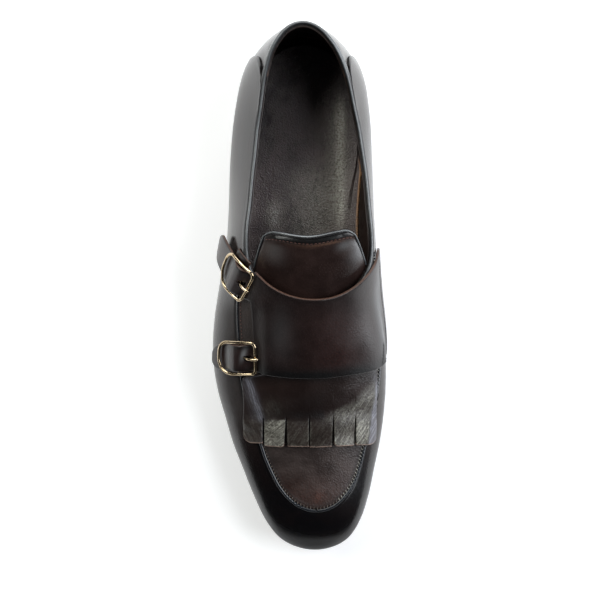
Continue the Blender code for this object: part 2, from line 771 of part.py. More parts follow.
def buckle_pin(strap, material):
    reach = FRAME_HALF - FRAME_WIRE - GAP
    inner = reach - ROD_POINT
    route = [(PIN_AT, b, PIN_LIFT) for b in (-reach, -inner, -inner / 3, inner / 3, inner, reach)]
    wires = (0.0, PIN_WIRE, PIN_WIRE, PIN_WIRE, PIN_WIRE, 0.0)
    return rod(strap[0] + "_buckle_pin", strap, route, wires, material)


def buckle_prong(strap, material):
    root = PIN_AT - PIN_WIRE - GAP
    top = FRAME_LIFT + FRAME_WIRE + GAP + PRONG_WIRE
    ends = (root, root - ROD_POINT, PRONG_BEND[0], 0.0, ROD_POINT - PRONG_PAST, -PRONG_PAST)
    lifts = (PIN_LIFT, PIN_LIFT, PRONG_BEND[1], top, top, top)
    wires = (0.0, PRONG_TIP, PRONG_WIRE, PRONG_WIRE, PRONG_TIP, 0.0)
    route = [(a, 0.0, lift) for a, lift in zip(ends, lifts)]
    return rod(strap[0] + "_buckle_prong", strap, route, wires, material)


def buckle_tab(strap, material):
    def place(p, q, patch, level):
        a = TAB_FROM + p * (TAB_TO - TAB_FROM)
        back = strap_value(strap, "tab_back")
        return on_strap(strap, a, q * (back + TAB_FRONT) - back, GAP + level * TAB_THICK)

    return solid_sheet(strap[0] + "_buckle_tab", [(4, 4)], place, material)


# The hole that the prong passes: its ends along the strap, half width, and the cut's heights.
SLOT = (2.6, 8.8)
SLOT_HALF = 1.35
SLOT_CUT = (-0.6, 8.4)


def cut_slot(panel, strap, material):
    """The prong's hole through the strap."""

    def place(p, q, patch, level):
        a = SLOT[0] + p * (SLOT[1] - SLOT[0])
        return on_strap(strap, a, SLOT_HALF * (2 * q - 1), SLOT_CUT[0] + level * np.ptp(SLOT_CUT))

    cutter = solid_sheet(strap[0] + "_slot_cutter", [(2, 1)], place, material)
    cutter.hide_render = True
    cutter.display_type = "WIRE"
    slot = panel.modifiers.new(strap[0] + "_slot", "BOOLEAN")
    slot.operation = "DIFFERENCE"
    slot.object = cutter


def main():
    clear_scene()
    dark = finish_of("upper_leather", (0.045, 0.028, 0.022), 0.35)
    brown = finish_of("strap_leather", (0.09, 0.045, 0.03), 0.4)
    flap = finish_of("kiltie_leather", (0.07, 0.045, 0.038), 0.35)
    soft = finish_of("tongue_leather", (0.06, 0.042, 0.036), 0.4)
    sock = finish_of("sock_leather", (0.03, 0.02, 0.016), 0.5)
    sole = finish_of("sole_leather", (0.05, 0.03, 0.022), 0.45)
    rubber = finish_of("heel_rubber", (0.015, 0.015, 0.015), 0.7)
    brass = finish_of("buckle_brass", (0.82, 0.68, 0.45), 0.25, 1.0)

    outsole(sole)
    heel_block("heel_stack", TOP_LIFT_THICK + GAP, None, sole)
    heel_block("heel_top_lift", 0.0, TOP_LIFT_THICK, rubber)
    insole(sock)
    upper(dark)
    tongue(soft)
    kiltie(flap)
    panel = strap_panel(brown)
    for strap in STRAPS:
        buckle_tab(strap, brown)
        buckle_pin(strap, brass)
        buckle_frame(strap, brass)
        buckle_prong(strap, brass)
        cut_slot(panel, strap, brown)


main()
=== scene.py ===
# Double-strap fringed loafer, right shoe: the looks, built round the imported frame.
# Lengths below are millimetres. s runs from the back of the heel to the toe, girth is the
# distance round a section from its ridge (positive on the inner side), lift is off the surface.

import math

import bmesh
import bpy
import numpy as np
from mathutils import Matrix, Vector


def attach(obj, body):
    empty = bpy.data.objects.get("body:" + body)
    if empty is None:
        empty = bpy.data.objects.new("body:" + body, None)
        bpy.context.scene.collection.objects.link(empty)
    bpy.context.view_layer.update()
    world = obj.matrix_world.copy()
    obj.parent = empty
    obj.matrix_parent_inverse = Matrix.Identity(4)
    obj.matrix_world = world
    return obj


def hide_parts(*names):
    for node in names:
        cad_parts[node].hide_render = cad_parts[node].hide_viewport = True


mm = 0.001

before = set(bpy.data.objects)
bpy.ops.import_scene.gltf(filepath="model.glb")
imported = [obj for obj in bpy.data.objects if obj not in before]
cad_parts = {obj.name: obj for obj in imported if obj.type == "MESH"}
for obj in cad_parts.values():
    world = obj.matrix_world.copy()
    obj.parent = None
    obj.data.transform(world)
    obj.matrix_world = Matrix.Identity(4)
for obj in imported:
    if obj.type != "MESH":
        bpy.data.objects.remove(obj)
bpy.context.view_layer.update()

lastShape = {
    "length": 294.3,
    "originS": 38.0,  # from the back of the heel to the frame's origin
    "soleThick": 4.5,
    "gap": 0.35,
    "throat": 163.0,  # where the opening closes on the ridge
    "heelLean": 1.7,  # forward lean of the heel cup at its top
    "leanFrom": 45.0,
    "leanHeight": 36.0,
    "leanFade": 60.0,
    "rise": 0.3,  # height of the lower wall's control point, as a share of the wall
}

planTable = {
    "columns": ("s", "half", "middle"),
    "rows": (
        (0, 0, 0), (7, 20.3, 0), (17, 29.6, 0), (30, 34.9, 0), (47, 37.9, -0.4),
        (75, 40, -1), (104, 41.1, -1.1), (118, 42, -1.2), (132, 43.8, -1.8),
        (146, 45.7, -2.2), (160, 47.7, -2.4), (175, 49.1, -2.2), (189, 49.2, -1.6),
        (204, 47.8, -0.4), (218, 45.2, 1), (233, 41.9, 2.1), (247, 37.7, 3.4),
        (262, 33.2, 4.8), (276, 27.6, 5.8), (287.6, 19.3, 6.6), (294.3, 0, 7.1),
    ),
}

profileTable = {
    "columns": ("s", "outer_z", "inner_z", "ridge_x", "ridge_z", "outer_full", "inner_full"),
    "rows": (
        (0, 42, 42, 0, 100, 0.41, 0.41), (14, 42, 42, 0.2, 100, 0.33, 0.40),
        (30, 42, 43, 1, 100, 0.225, 0.335), (57, 40, 44, 1.5, 98, 0.18, 0.36),
        (71, 38, 43, 2, 97, 0.23, 0.46), (98, 33, 40, 3.4, 95, 0.40, 0.68),
        (115, 31, 37, 4, 92, 0.53, 0.82), (130, 30, 34, 4, 85, 0.56, 0.82),
        (150, 28, 30, 4, 75.5, 0.48, 0.58), (170, 26, 28, 4.5, 65.5, 0.47, 0.50),
        (190, 25, 26, 5, 56.5, 0.50, 0.50), (210, 24, 25, 5, 49.5, 0.51, 0.51),
        (230, 23, 24, 5.7, 44.2, 0.53, 0.53), (250, 23, 23, 6.6, 40.5, 0.56, 0.56),
        (265, 22, 22, 7.6, 38, 0.60, 0.60), (275, 22, 22, 7.8, 35.8, 0.63, 0.63),
        (283, 22, 22, 7.6, 32.5, 0.64, 0.64), (290, 22, 22, 7.3, 27.5, 0.60, 0.60),
        (294.3, 22, 22, 7.1, 22, 0.60, 0.60),
    ),
}

soleTable = {
    "columns": ("s", "under_z", "outer_tuck", "inner_tuck"),
    "rows": (
        (0, 23, 4, 4), (40, 21.8, 4, 4), (74, 20, 5, 6), (90, 17.8, 6, 10),
        (110, 14, 7, 13.5), (130, 9.5, 7, 13), (150, 5, 6, 9),
        (170, 1.5, 4.5, 5.5), (185, 0, 3.5, 4), (215, 0, 3, 3), (230, 1.2, 3, 3),
        (250, 3.6, 3, 3), (270, 7.5, 3, 3), (294.3, 13, 3, 3),
    ),
}

toplineTable = {
    "columns": ("s", "z"),
    "rows": (
        (0, 81), (14, 79), (30, 73.5), (47, 69.5), (57, 67.5), (71, 67),
        (85, 67), (98, 68), (115, 69.8), (131, 69.3), (148, 68.8), (163, 69),
        (180, 69), (294.3, 69),
    ),
}


def alongFoot(s):  # 0 at the heel, 1 at the toe, crowding towards both round ends
    return np.arccos(np.clip(1 - 2 * np.asarray(s, float) / lastShape["length"], -1, 1)) / math.pi


def stationAt(u):
    return lastShape["length"] * (1 - np.cos(math.pi * np.asarray(u, float))) / 2


def curveThrough(knots, values, slopes, key):  # a smooth curve through a table's rows
    i = np.clip(np.searchsorted(knots, key, side="right") - 1, 0, len(knots) - 2)
    step = knots[i + 1] - knots[i]
    t = (key - knots[i]) / step
    rest = 1 - t
    held = (1 + 2 * t) * rest * rest * values[i] + (3 - 2 * t) * t * t * values[i + 1]
    return held + t * rest * step * (rest * slopes[i] - t * slopes[i + 1])


def tableColumn(table, name):
    index = table["columns"].index(name)
    return np.array([row[index] for row in table["rows"]])


def tableValue(table, name, s, heel=1, toe=1):  # heel and toe: 1 mirrors there, -1 runs on through
    knots, values = alongFoot(tableColumn(table, "s")), tableColumn(table, name)
    knots = np.concatenate([[-knots[1]], knots, [2 - knots[-2]]])
    before = values[0] + heel * (values[1] - values[0])
    after = values[-1] + toe * (values[-2] - values[-1])
    values = np.concatenate([[before], values, [after]])
    steps = np.diff(knots)
    slopes = np.diff(values) / steps
    inner = (slopes[:-1] * steps[1:] + slopes[1:] * steps[:-1]) / (steps[:-1] + steps[1:])
    slopes = np.concatenate([[inner[0]], inner, [inner[-1]]])
    return curveThrough(knots, values, slopes, alongFoot(s))


def readRows(table, name, key):  # the same for a table of its own kind, by its first column
    knots, values = tableColumn(table, table["columns"][0]), tableColumn(table, name)
    return curveThrough(knots, values, np.gradient(values, knots), np.clip(key, knots[0], knots[-1]))


def ease(value, start, end):  # 0 before start, 1 after end
    t = np.clip((np.asarray(value, float) - start) / (end - start), 0, 1)
    return t * t * (3 - 2 * t)


def between(value, start, full, fade, end):  # rises from start to full, falls from fade to end
    return ease(value, start, full) * (1 - ease(value, fade, end))


def bump(value, centre, width):  # 1 at the centre, fading to 0
    return np.exp(-(((np.asarray(value, float) - centre) / width) ** 2))


def unit(vectors):
    return vectors / np.maximum(np.linalg.norm(vectors, axis=-1, keepdims=True), 1e-9)


def dot(first, second):
    return np.sum(first * second, axis=-1)


def runAlong(points, axis):  # distances along a grid's lines
    steps = np.linalg.norm(np.diff(points, axis=axis), axis=-1)
    first = np.zeros_like(np.take(steps, [0], axis=axis))
    return np.concatenate([first, np.cumsum(steps, axis=axis)], axis=axis)


def floats(*values):
    return [np.asarray(value, float) for value in values]


def crowded(count, low=0.0, high=1.0):  # 0..1, closer together towards both ends
    return 0.5 - 0.5 * np.cos(math.pi * np.linspace(low, high, count))


def outlineX(s, side):  # the widest line in plan
    return tableValue(planTable, "middle", s) + side * tableValue(planTable, "half", s, -1, -1)


def outlineNormal(s, side):
    u = alongFoot(s)
    low = stationAt(np.clip(u - 0.002, 0, 1))
    high = stationAt(np.clip(u + 0.002, 0, 1))
    runX = outlineX(high, side) - outlineX(low, side)
    size = np.hypot(high - low, runX)
    return side * (high - low) / size, -side * runX / size


def bySide(table, kind, s, side):
    inner, outer = (tableValue(table, name + kind, s) for name in ("inner_", "outer_"))
    return np.where(side > 0, inner, outer)


def underZ(s):  # the sole's underside, flat under the ball
    return np.maximum(tableValue(soleTable, "under_z", s), 0.0)


def tucked(s, side, more):  # plan point of the feather line, moved inwards by more
    normalX, normalS = outlineNormal(s, side)
    inward = bySide(soleTable, "tuck", s, side) + more
    return outlineX(s, side) - inward * normalX, s - inward * normalS


def placed(x, s, z):
    return np.stack([x, lastShape["originS"] - s, z], axis=-1)


def lastPoint(s, side, t):  # t: 0 at the feather line, 1 at the widest line, 2 on the ridge
    s, side, t = np.broadcast_arrays(*floats(s, side, t))
    wideX = outlineX(s, side)
    wideZ = bySide(profileTable, "z", s, side)
    full = bySide(profileTable, "full", s, side)
    ridgeX = tableValue(profileTable, "ridge_x", s)
    ridgeZ = tableValue(profileTable, "ridge_z", s, 1, -1)
    edgeX, edgeS = tucked(s, side, 0.0)
    edgeZ = underZ(s) + lastShape["soleThick"] + lastShape["gap"]

    low = np.clip(t, 0, 1)
    away = (1 - low) ** 2
    lowX = away * edgeX + (1 - away) * wideX
    lowS = away * edgeS + (1 - away) * s
    bend = 2 * (1 - low) * low
    lowZ = away * edgeZ + bend * (edgeZ + lastShape["rise"] * (wideZ - edgeZ)) + low**2 * wideZ

    high = np.clip(t - 1, 0, 1)
    rest = 1 - high
    weights = (rest**3, 3 * rest**2 * high, 3 * rest * high**2, high**3)
    xs = (wideX, wideX, ridgeX + full * (wideX - ridgeX), ridgeX)
    zs = (wideZ, wideZ + full * (ridgeZ - wideZ), ridgeZ, ridgeZ)
    x = np.where(t < 1, lowX, sum(weight * value for weight, value in zip(weights, xs)))
    z = np.where(t < 1, lowZ, sum(weight * value for weight, value in zip(weights, zs)))
    fade = np.clip(1 - s / lastShape["leanFade"], 0, 1) ** 2
    over = np.clip((z - lastShape["leanFrom"]) / lastShape["leanHeight"], 0, None)
    lean = lastShape["heelLean"] * over**2 * fade
    return placed(x, np.where(t < 1, lowS, s) + lean, z)


# Charts of the last, so that a place can be found by its girth or by its x.
chartShares = np.linspace(2, 0, 181)
chartStations = stationAt(np.linspace(0, 1, 801))


def sectionChart(side):
    rows = lastPoint(chartStations[:, None], side, chartShares[None, :])
    reach = np.maximum.accumulate(rows[..., 0] * side, axis=1)
    return {"girth": runAlong(rows, 1), "reach": reach, "fall": np.maximum.accumulate(-rows[..., 2], axis=1)}


charts = {-1: sectionChart(-1), 1: sectionChart(1)}


def chartRow(s):  # the chart's row below s, and how far s is past it
    place = np.clip(alongFoot(s) * (len(chartStations) - 1), 0, len(chartStations) - 1.000001)
    low = place.astype(int)
    return low, place - low


def chartLookup(chart, s, value):  # t at which each station's chart reaches the value
    rows, columns = chart.shape
    apart = 1000.0
    flat = (chart + apart * np.arange(rows)[:, None]).ravel()
    low, past = chartRow(s)
    found = []
    for row in (low, low + 1):
        i = np.searchsorted(flat, value + apart * row, side="right") - 1 - row * columns
        i = np.clip(i, 0, columns - 2)
        start, end = chart[row, i], chart[row, i + 1]
        share = np.clip((value - start) / np.maximum(end - start, 1e-9), 0, 1)
        found.append(chartShares[i] + share * (chartShares[i + 1] - chartShares[i]))
    return found[0] + past * (found[1] - found[0])


def shareAt(kind, s, side, value):
    outer, inner = (chartLookup(charts[key][kind], s, value) for key in (-1, 1))
    return np.where(side > 0, inner, outer)


def onLast(s, girth):
    s, girth = np.broadcast_arrays(*floats(s, girth))
    side = np.where(girth < 0, -1.0, 1.0)
    return lastPoint(s, side, shareAt("girth", s, side, np.abs(girth)))


def outward(s, girth):  # unit normal of the last
    alongS = onLast(s + 0.6, girth) - onLast(s - 0.6, girth)
    alongGirth = onLast(s, girth + 0.6) - onLast(s, girth - 0.6)
    return unit(np.cross(alongS, alongGirth))


def skinAt(s, girth):
    return onLast(s, girth), outward(s, girth)


def girthOf(s, x):  # girth at which the upper half of the section reaches this x
    s, x = np.broadcast_arrays(*floats(s, x))
    side = np.where(x < tableValue(profileTable, "ridge_x", s), -1.0, 1.0)
    t = np.maximum(shareAt("reach", s, side, x * side), 1.0)
    girth = np.stack([charts[key]["girth"] for key in (-1, 1)])
    half = (side > 0).astype(int)
    low, past = chartRow(s)
    at = (2 - t) / 2 * (len(chartShares) - 1)
    step = np.clip(at.astype(int), 0, len(chartShares) - 2)
    total = 0
    for row, part in ((low, 1 - past), (low + 1, past)):
        start, end = girth[half, row, step], girth[half, row, step + 1]
        total = total + part * (start + (at - step) * (end - start))
    return side * total


def outNormals(points):  # unit normals of a grid, pointing out of the shoe
    normal = unit(np.cross(np.gradient(points, axis=0), np.gradient(points, axis=1)))
    away = points - np.array([0.0, lastShape["originS"] - 150.0, 30.0])
    return normal if np.mean(dot(away, normal)) > 0 else -normal


def edgeDistance(points, sides):  # from the named sides of a grid: "west east south north"
    columns, rows = runAlong(points, 0), runAlong(points, 1)
    found = {"west": columns, "east": columns[-1:] - columns, "south": rows, "north": rows[:, -1:] - rows}
    return np.minimum.reduce([found[name] for name in sides.split()])


def spacedLines(span, step, west=True, east=True):  # 0..1, with extra lines close to its ends
    fine = np.array([0.0, 0.14, 0.36, 0.75, 1.3])
    start = fine[-1] if west else 0.0
    end = span - (fine[-1] if east else 0.0)
    middle = np.linspace(start, end, max(2, int(round((end - start) / step)) + 1))
    before = fine[:-1] if west else []
    after = span - fine[-2::-1] if east else []
    return np.concatenate([before, middle, after]) / span


def roundedDrop(distance, radius):  # how far a rounded rim falls at this distance from the edge
    inside = np.clip(1 - distance / radius, 0, 1)
    return radius * (1 - np.sqrt(1 - 0.96 * inside**2))


def gridBmesh(points, marks):  # a flat grid shaped to these points; marks are kept on its vertices
    columns, rows = points.shape[0] - 1, points.shape[1] - 1
    bm = bmesh.new()
    iLayer, jLayer = (bm.verts.layers.int.new(name) for name in ("gridI", "gridJ"))
    markLayers = [bm.verts.layers.float.new(name) for name in marks]
    bmesh.ops.create_grid(bm, x_segments=columns, y_segments=rows, size=0.5)
    for vert in bm.verts:
        i, j = round((vert.co.x + 0.5) * columns), round((vert.co.y + 0.5) * rows)
        vert[iLayer], vert[jLayer] = i, j
        vert.co = points[i, j] * mm
        for layer, values in zip(markLayers, marks.values()):
            vert[layer] = values[i, j]
    return bm


def gridLayers(bm):
    return [bm.verts.layers.int.get(name) for name in ("gridI", "gridJ")]


def giveWall(bm, lower):  # extrudes a shaped sheet; lower gives the place of each copied vertex
    for part in bmesh.ops.extrude_face_region(bm, geom=bm.faces[:])["geom"]:
        if isinstance(part, bmesh.types.BMVert):
            part.co = lower(part)


def wallTo(bm, below):  # a grid's wall, down to its lower points
    iLayer, jLayer = gridLayers(bm)
    giveWall(bm, lambda vert: Vector((below[vert[iLayer], vert[jLayer]] * mm).tolist()))


def mergeClose(bm, distance=0.002):
    bmesh.ops.remove_doubles(bm, verts=bm.verts[:], dist=distance * mm)


def addObject(name, data):
    made = bpy.data.objects.new(name, data)
    bpy.context.scene.collection.objects.link(made)
    return made


def addPiece(name, bm, material, stands, sharp=45.0):
    bmesh.ops.recalc_face_normals(bm, faces=bm.faces[:])
    if bm.calc_volume(signed=True) < 0:
        bmesh.ops.reverse_faces(bm, faces=bm.faces[:])
    for layer in filter(None, gridLayers(bm)):
        bm.verts.layers.int.remove(layer)
    mesh = bpy.data.meshes.new(name)
    bm.to_mesh(mesh)
    bm.free()
    mesh.shade_smooth()
    mesh.set_sharp_from_angle(angle=math.radians(sharp))
    mesh.materials.append(material)
    piece = addObject(name, mesh)
    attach(piece, "root")
    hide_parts(stands)


uncut = 9.0  # the rim of a sheet whose edges are all hidden


def sheetPiece(name, base, normal, lift, thick, rim, marks, material, stands, rimRadius=0.6, merge=False):
    # a sheet of leather: lift is its lower face, rim the distance of each point from its cut edge
    lift, rim = (np.broadcast_to(value, base.shape[:2]) for value in (lift, rim))
    fall = roundedDrop(rim, min(rimRadius, thick * 0.75))
    bm = gridBmesh(base + normal * (lift + thick - fall)[..., None], marks)
    if merge:
        mergeClose(bm)
    wallTo(bm, base + normal * (lift + 0.35 * fall)[..., None])
    addPiece(name, bm, material, stands)


def tubeMesh(path, normal, halfHigh, halfWide, sides, closed=False, shade=None):
    # a rolled grid along a path; its section stands on the normal; shade turns places and
    # directions into marks
    ahead = np.roll(path, -1, axis=0) - np.roll(path, 1, axis=0) if closed else np.gradient(path, axis=0)
    ahead = unit(ahead)
    sideways = unit(np.cross(ahead, normal))
    up = np.cross(sideways, ahead)
    angle = np.linspace(0, 2 * math.pi, sides + 1)[None, :, None]
    high, wide = (np.broadcast_to(half, len(path))[:, None, None] for half in (halfHigh, halfWide))
    ring = up[:, None] * high * np.sin(angle) + sideways[:, None] * wide * np.cos(angle)
    points = path[:, None] + ring
    marks = shade(path[:, None], unit(ring)) if shade else {}
    if closed:
        points = np.concatenate([points, points[:1]])
        marks = {name: np.concatenate([values, values[:1]]) for name, values in marks.items()}
    else:
        caps = [np.repeat(end[:, None], sides + 1, axis=1) for end in (path[:1], path[-1:])]
        points = np.concatenate([caps[0], points, caps[1]])
        marks = {name: np.concatenate([values[:1], values, values[-1:]]) for name, values in marks.items()}
    bm = gridBmesh(points, marks)
    mergeClose(bm, 0.0005)
    return bm


def copyInto(bm, part):
    mesh = bpy.data.meshes.new("part")
    part.to_mesh(mesh)
    part.free()
    bm.from_mesh(mesh)
    bpy.data.meshes.remove(mesh)


def cordPiece(name, path, normal, halfHigh, halfWide, sides, looks, closed=False, shade=None):
    material, slot, stands = looks
    addPiece(name, tubeMesh(path, normal, halfHigh, halfWide, sides, closed, shade), material, stands, 60)


def stitchesMesh(bm, starts, ends, normals, halfWide, halfHigh):
    # one rounded thread for each pair of points
    for start, end, normal in zip(starts, ends, normals):
        run = end - start
        length = np.linalg.norm(run)
        run = run / length
        sideways = unit(np.cross(run, normal))
        up = np.cross(sideways, run)
        middle = (start + end) / 2
        axes = np.column_stack([run * length / 2, sideways * halfWide, up * halfHigh]) * mm
        place = Matrix.Translation(Vector((middle * mm).tolist())) @ Matrix(axes.tolist()).to_4x4()
        bmesh.ops.create_uvsphere(bm, u_segments=8, v_segments=6, radius=1.0,
                                  matrix=place @ Matrix.Rotation(math.pi / 2, 4, "Y"))


def stitchPiece(name, starts, ends, normals, material, stands, halfWide=0.2, halfHigh=0.17):
    bm = bmesh.new()
    stitchesMesh(bm, starts, ends, normals, halfWide, halfHigh)
    addPiece(name, bm, material, stands, 80)


def evenly(points, pitch):  # places at an even pitch along a path, as fractional indices
    run = runAlong(points, 0)
    count = max(2, int(round(run[-1] / pitch)))
    return np.interp(np.linspace(0, run[-1], count + 1), run, np.arange(len(points)))


def pick(values, place):  # values read at fractional indices
    low = np.clip(place.astype(int), 0, len(values) - 2)
    share = place - low
    if np.ndim(values) > 1:
        share = share[:, None]
    return values[low] + share * (values[low + 1] - values[low])


# The opening: its edge runs round the heel, up both sides and closes over the instep.

def openingShare(s, side):
    t = shareAt("fall", s, side, -tableValue(toplineTable, "z", s))
    return np.where(np.asarray(s) > lastShape["throat"] - 0.01, 2.0, t)


apronSeam = {
    "from": 126.0,  # where it leaves the collar, on both sides
    "rows": (  # x and s of the seam, and the s at which the side's leather meets it square
        (-34.2, 140, 140), (-35.5, 155, 155.5), (-35, 172, 173), (-32.7, 197, 199.5),
        (-28.2, 216, 220.5), (-22.5, 232, 239.5), (-19.9, 239.8, 249.5), (-16.6, 247.5, 260),
        (-12.2, 255.9, 271.5), (-7.7, 261.6, 280.5), (-1.4, 266.5, 288.5), (3.2, 268.3, 292.4),
        (7.9, 268.9, 294.3), (12.6, 268.2, 292.4), (17.1, 266.3, 288.5), (23.3, 260.7, 280.5),
        (28.5, 252.7, 270), (31.6, 243.7, 258), (33.7, 234.7, 246.5), (38.8, 214, 219),
        (42.4, 191, 193), (43.7, 172, 172.5), (42.6, 150, 150),
    ),
    "toeRow": 13,  # counting the two ends
}


def apronCurve(count):  # x, s and the signed place on the outline, evenly along the seam
    start, toe = apronSeam["from"], apronSeam["toeRow"]
    ends = [(lastPoint(start, side, openingShare(start, side))[0], start, start) for side in (-1, 1)]
    x, s, edgeS = np.array([ends[0], *apronSeam["rows"], ends[1]], float).T
    onOutline = np.sign(np.arange(len(x)) - toe) * (1 - alongFoot(edgeS))  # negative on the outer side
    chord = runAlong(np.column_stack([x, s]), 0)
    fine = np.linspace(0, chord[-1], 2000)
    curves = [curveThrough(chord, values, np.gradient(values, chord), fine) for values in (x, s, onOutline)]
    run = runAlong(np.column_stack(curves[:2]), 0)
    return [np.interp(np.linspace(0, run[-1], count), run, values) for values in curves]


def planShare(x, s):  # signed distance in t from the ridge, for a point seen from above
    side = np.where(x < tableValue(profileTable, "ridge_x", s), -1.0, 1.0)
    t = np.clip(shareAt("reach", s, side, x * side), 1.0, 2.0)
    return side * (2 - t)


def fromRidge(s, tau):  # the last's point for a signed share
    return lastPoint(s, np.where(tau < 0, -1.0, 1.0), 2 - np.abs(tau))


sideLeather = {
    "thick": 1.1,
    "near": (0.0, 0.25, 0.6, 1.0, 1.5, 2.0, 2.5, 3.0, 3.7, 4.6, 6.0),  # rows below the seam
    "farRows": 44,
    "apronColumns": 291,
    "rearColumns": 62,
    # the quarter's rear edge: share of the wall from the collar down, and s
    "rearEdge": {
        "columns": ("share", "s"),
        "rows": (
            (0, 35.4), (0.012, 32), (0.05, 25.6), (0.11, 20.4), (0.18, 17.6), (0.28, 16.4),
            (0.5, 15.8), (0.8, 17.2), (1, 17),
        ),
    },
    "rearProud": 0.55,  # its rear edge stands this proud, over the counter
    "counterSunk": 0.65,
    "counterOverlap": 5.0,
}


def wallPath(s, side, share):  # t for a share of the wall, 0 at the collar and 1 at the feather line
    top = openingShare(s, side)
    upper = top + (1 - top) * np.clip(share / 0.5, 0, 1)
    return np.where(share < 0.5, upper, 2 * (1 - share))


def rowsDown(s, tau, near, farRows):  # resamples dense columns: rows at set distances, then even ones
    run = runAlong(fromRidge(s, tau), 1)
    near = np.array(near)
    newS, newTau, depth = [], [], []
    for column in range(len(s)):
        total = run[column, -1]
        close = near * min(1.0, total / (1.6 * near[-1]))
        far = close[-1] + (total - close[-1]) * (np.arange(1, farRows + 1) / farRows)
        wanted = np.concatenate([close, far])
        newS.append(np.interp(wanted, run[column], s[column]))
        newTau.append(np.interp(wanted, run[column], tau[column]))
        depth.append(wanted)
    return np.array(newS), np.array(newTau), np.array(depth)


def rearSideColumns(side):  # from the quarter's rear edge to where the apron seam starts
    share = np.linspace(0, 1, 90)[None, :]
    along = (np.linspace(0, 1, sideLeather["rearColumns"]) ** 1.15)[:, None]
    edge = readRows(sideLeather["rearEdge"], "s", share)
    s = edge + (apronSeam["from"] - edge) * along
    sides = np.full_like(s, side)
    return s, side * (2 - wallPath(s, sides, np.broadcast_to(share, s.shape)))


def apronSideColumns():  # from the apron seam down to the feather line
    x, s, onOutline = apronCurve(sideLeather["apronColumns"])
    side = np.where(onOutline < 0, -1.0, 1.0)
    edgeS = stationAt(1 - np.abs(onOutline))
    edgeX = outlineX(edgeS, side)
    out = np.sin(np.linspace(0, math.pi / 2, 70))[None, :]
    planX = x[:, None] + out * (edgeX - x)[:, None]
    planS = s[:, None] + out * (edgeS - s)[:, None]
    upper = planShare(planX, planS)
    down = np.linspace(0, 1, 40)[None, 1:]
    lower = side[:, None] * (1 + down)
    lowerS = np.broadcast_to(edgeS[:, None], lower.shape)
    return np.concatenate([planS, lowerS], axis=1), np.concatenate([upper, lower], axis=1)


def sideSkin():  # every column of the side leather, outer rear edge to inner rear edge
    outerS, outerTau = rearSideColumns(-1)
    innerS, innerTau = rearSideColumns(1)
    near, farRows = sideLeather["near"], sideLeather["farRows"]
    parts = [
        rowsDown(outerS, outerTau, near, farRows),
        rowsDown(*apronSideColumns(), near, farRows),
        rowsDown(innerS[::-1], innerTau[::-1], near, farRows),
    ]
    count = len(outerS)
    s, tau, depth = (np.concatenate([parts[0][k][:-1], parts[1][k], parts[2][k][1:]]) for k in range(3))
    front = slice(count - 1, count - 1 + sideLeather["apronColumns"])
    return {"s": s, "tau": tau, "depth": depth, "front": front, "base": fromRidge(s, tau)}


skin = sideSkin()
print("last charted, side skin", skin["base"].shape)


# Shader groups and materials.

def fillNode(tree, node, inputs):  # links the sockets given and sets the values given
    for key, value in inputs.items():
        if isinstance(value, bpy.types.NodeSocket):
            tree.links.new(value, node.inputs[key])
        else:
            node.inputs[key].default_value = value
    return node


def addNode(tree, kind, inputs=None, **settings):
    made = tree.nodes.new("ShaderNode" + kind)
    for key, value in settings.items():
        setattr(made, key, value)
    return fillNode(tree, made, inputs or {})


def startGroup(name, inputs, outputs):
    tree = bpy.data.node_groups.new(name, "ShaderNodeTree")
    for label, value in inputs.items():
        kind = "Float" if isinstance(value, float) else value
        socket = tree.interface.new_socket(name=label, in_out="INPUT", socket_type="NodeSocket" + kind)
        if kind == "Float":
            socket.default_value = value
    for label in outputs:
        kind = "Color" if label == "Color" else "Float"
        tree.interface.new_socket(name=label, in_out="OUTPUT", socket_type="NodeSocket" + kind)
    return tree, tree.nodes.new("NodeGroupInput").outputs, tree.nodes.new("NodeGroupOutput").inputs


def mathNode(tree, operation, first, second, clamp=False):
    return addNode(tree, "Math", {0: first, 1: second}, operation=operation, use_clamp=clamp).outputs[0]


def times(tree, first, second, clamp=False):
    return mathNode(tree, "MULTIPLY", first, second, clamp)


def plus(tree, first, second, clamp=False):
    return mathNode(tree, "ADD", first, second, clamp)


def markNode(tree, name):  # a mark kept on the vertices
    return addNode(tree, "Attribute", attribute_name=name).outputs["Fac"]


def objectPlace(tree):
    return addNode(tree, "TexCoord").outputs["Object"]


def bumpNode(tree, height, distance, strength=1.0, **under):
    inputs = {"Strength": strength, "Distance": distance, "Height": height, **under}
    return addNode(tree, "Bump", inputs).outputs[0]


def rangeNode(tree, value, low, high, start=0.0, end=1.0):
    return addNode(tree, "MapRange", {"Value": value, "From Min": low, "From Max": high,
                                      "To Min": start, "To Max": end}).outputs["Result"]


def mixColour(tree, share, first, second):
    first, second = ((*value, 1.0) if isinstance(value, tuple) else value for value in (first, second))
    return addNode(tree, "Mix", {0: share, 6: first, 7: second}, data_type="RGBA").outputs[2]


def noiseNode(tree, vector, scale, detail=3.0, roughness=0.5, distortion=0.0):
    return addNode(tree, "TexNoise", {"Vector": vector, "Scale": scale, "Detail": detail,
                                      "Roughness": roughness, "Distortion": distortion}).outputs["Fac"]


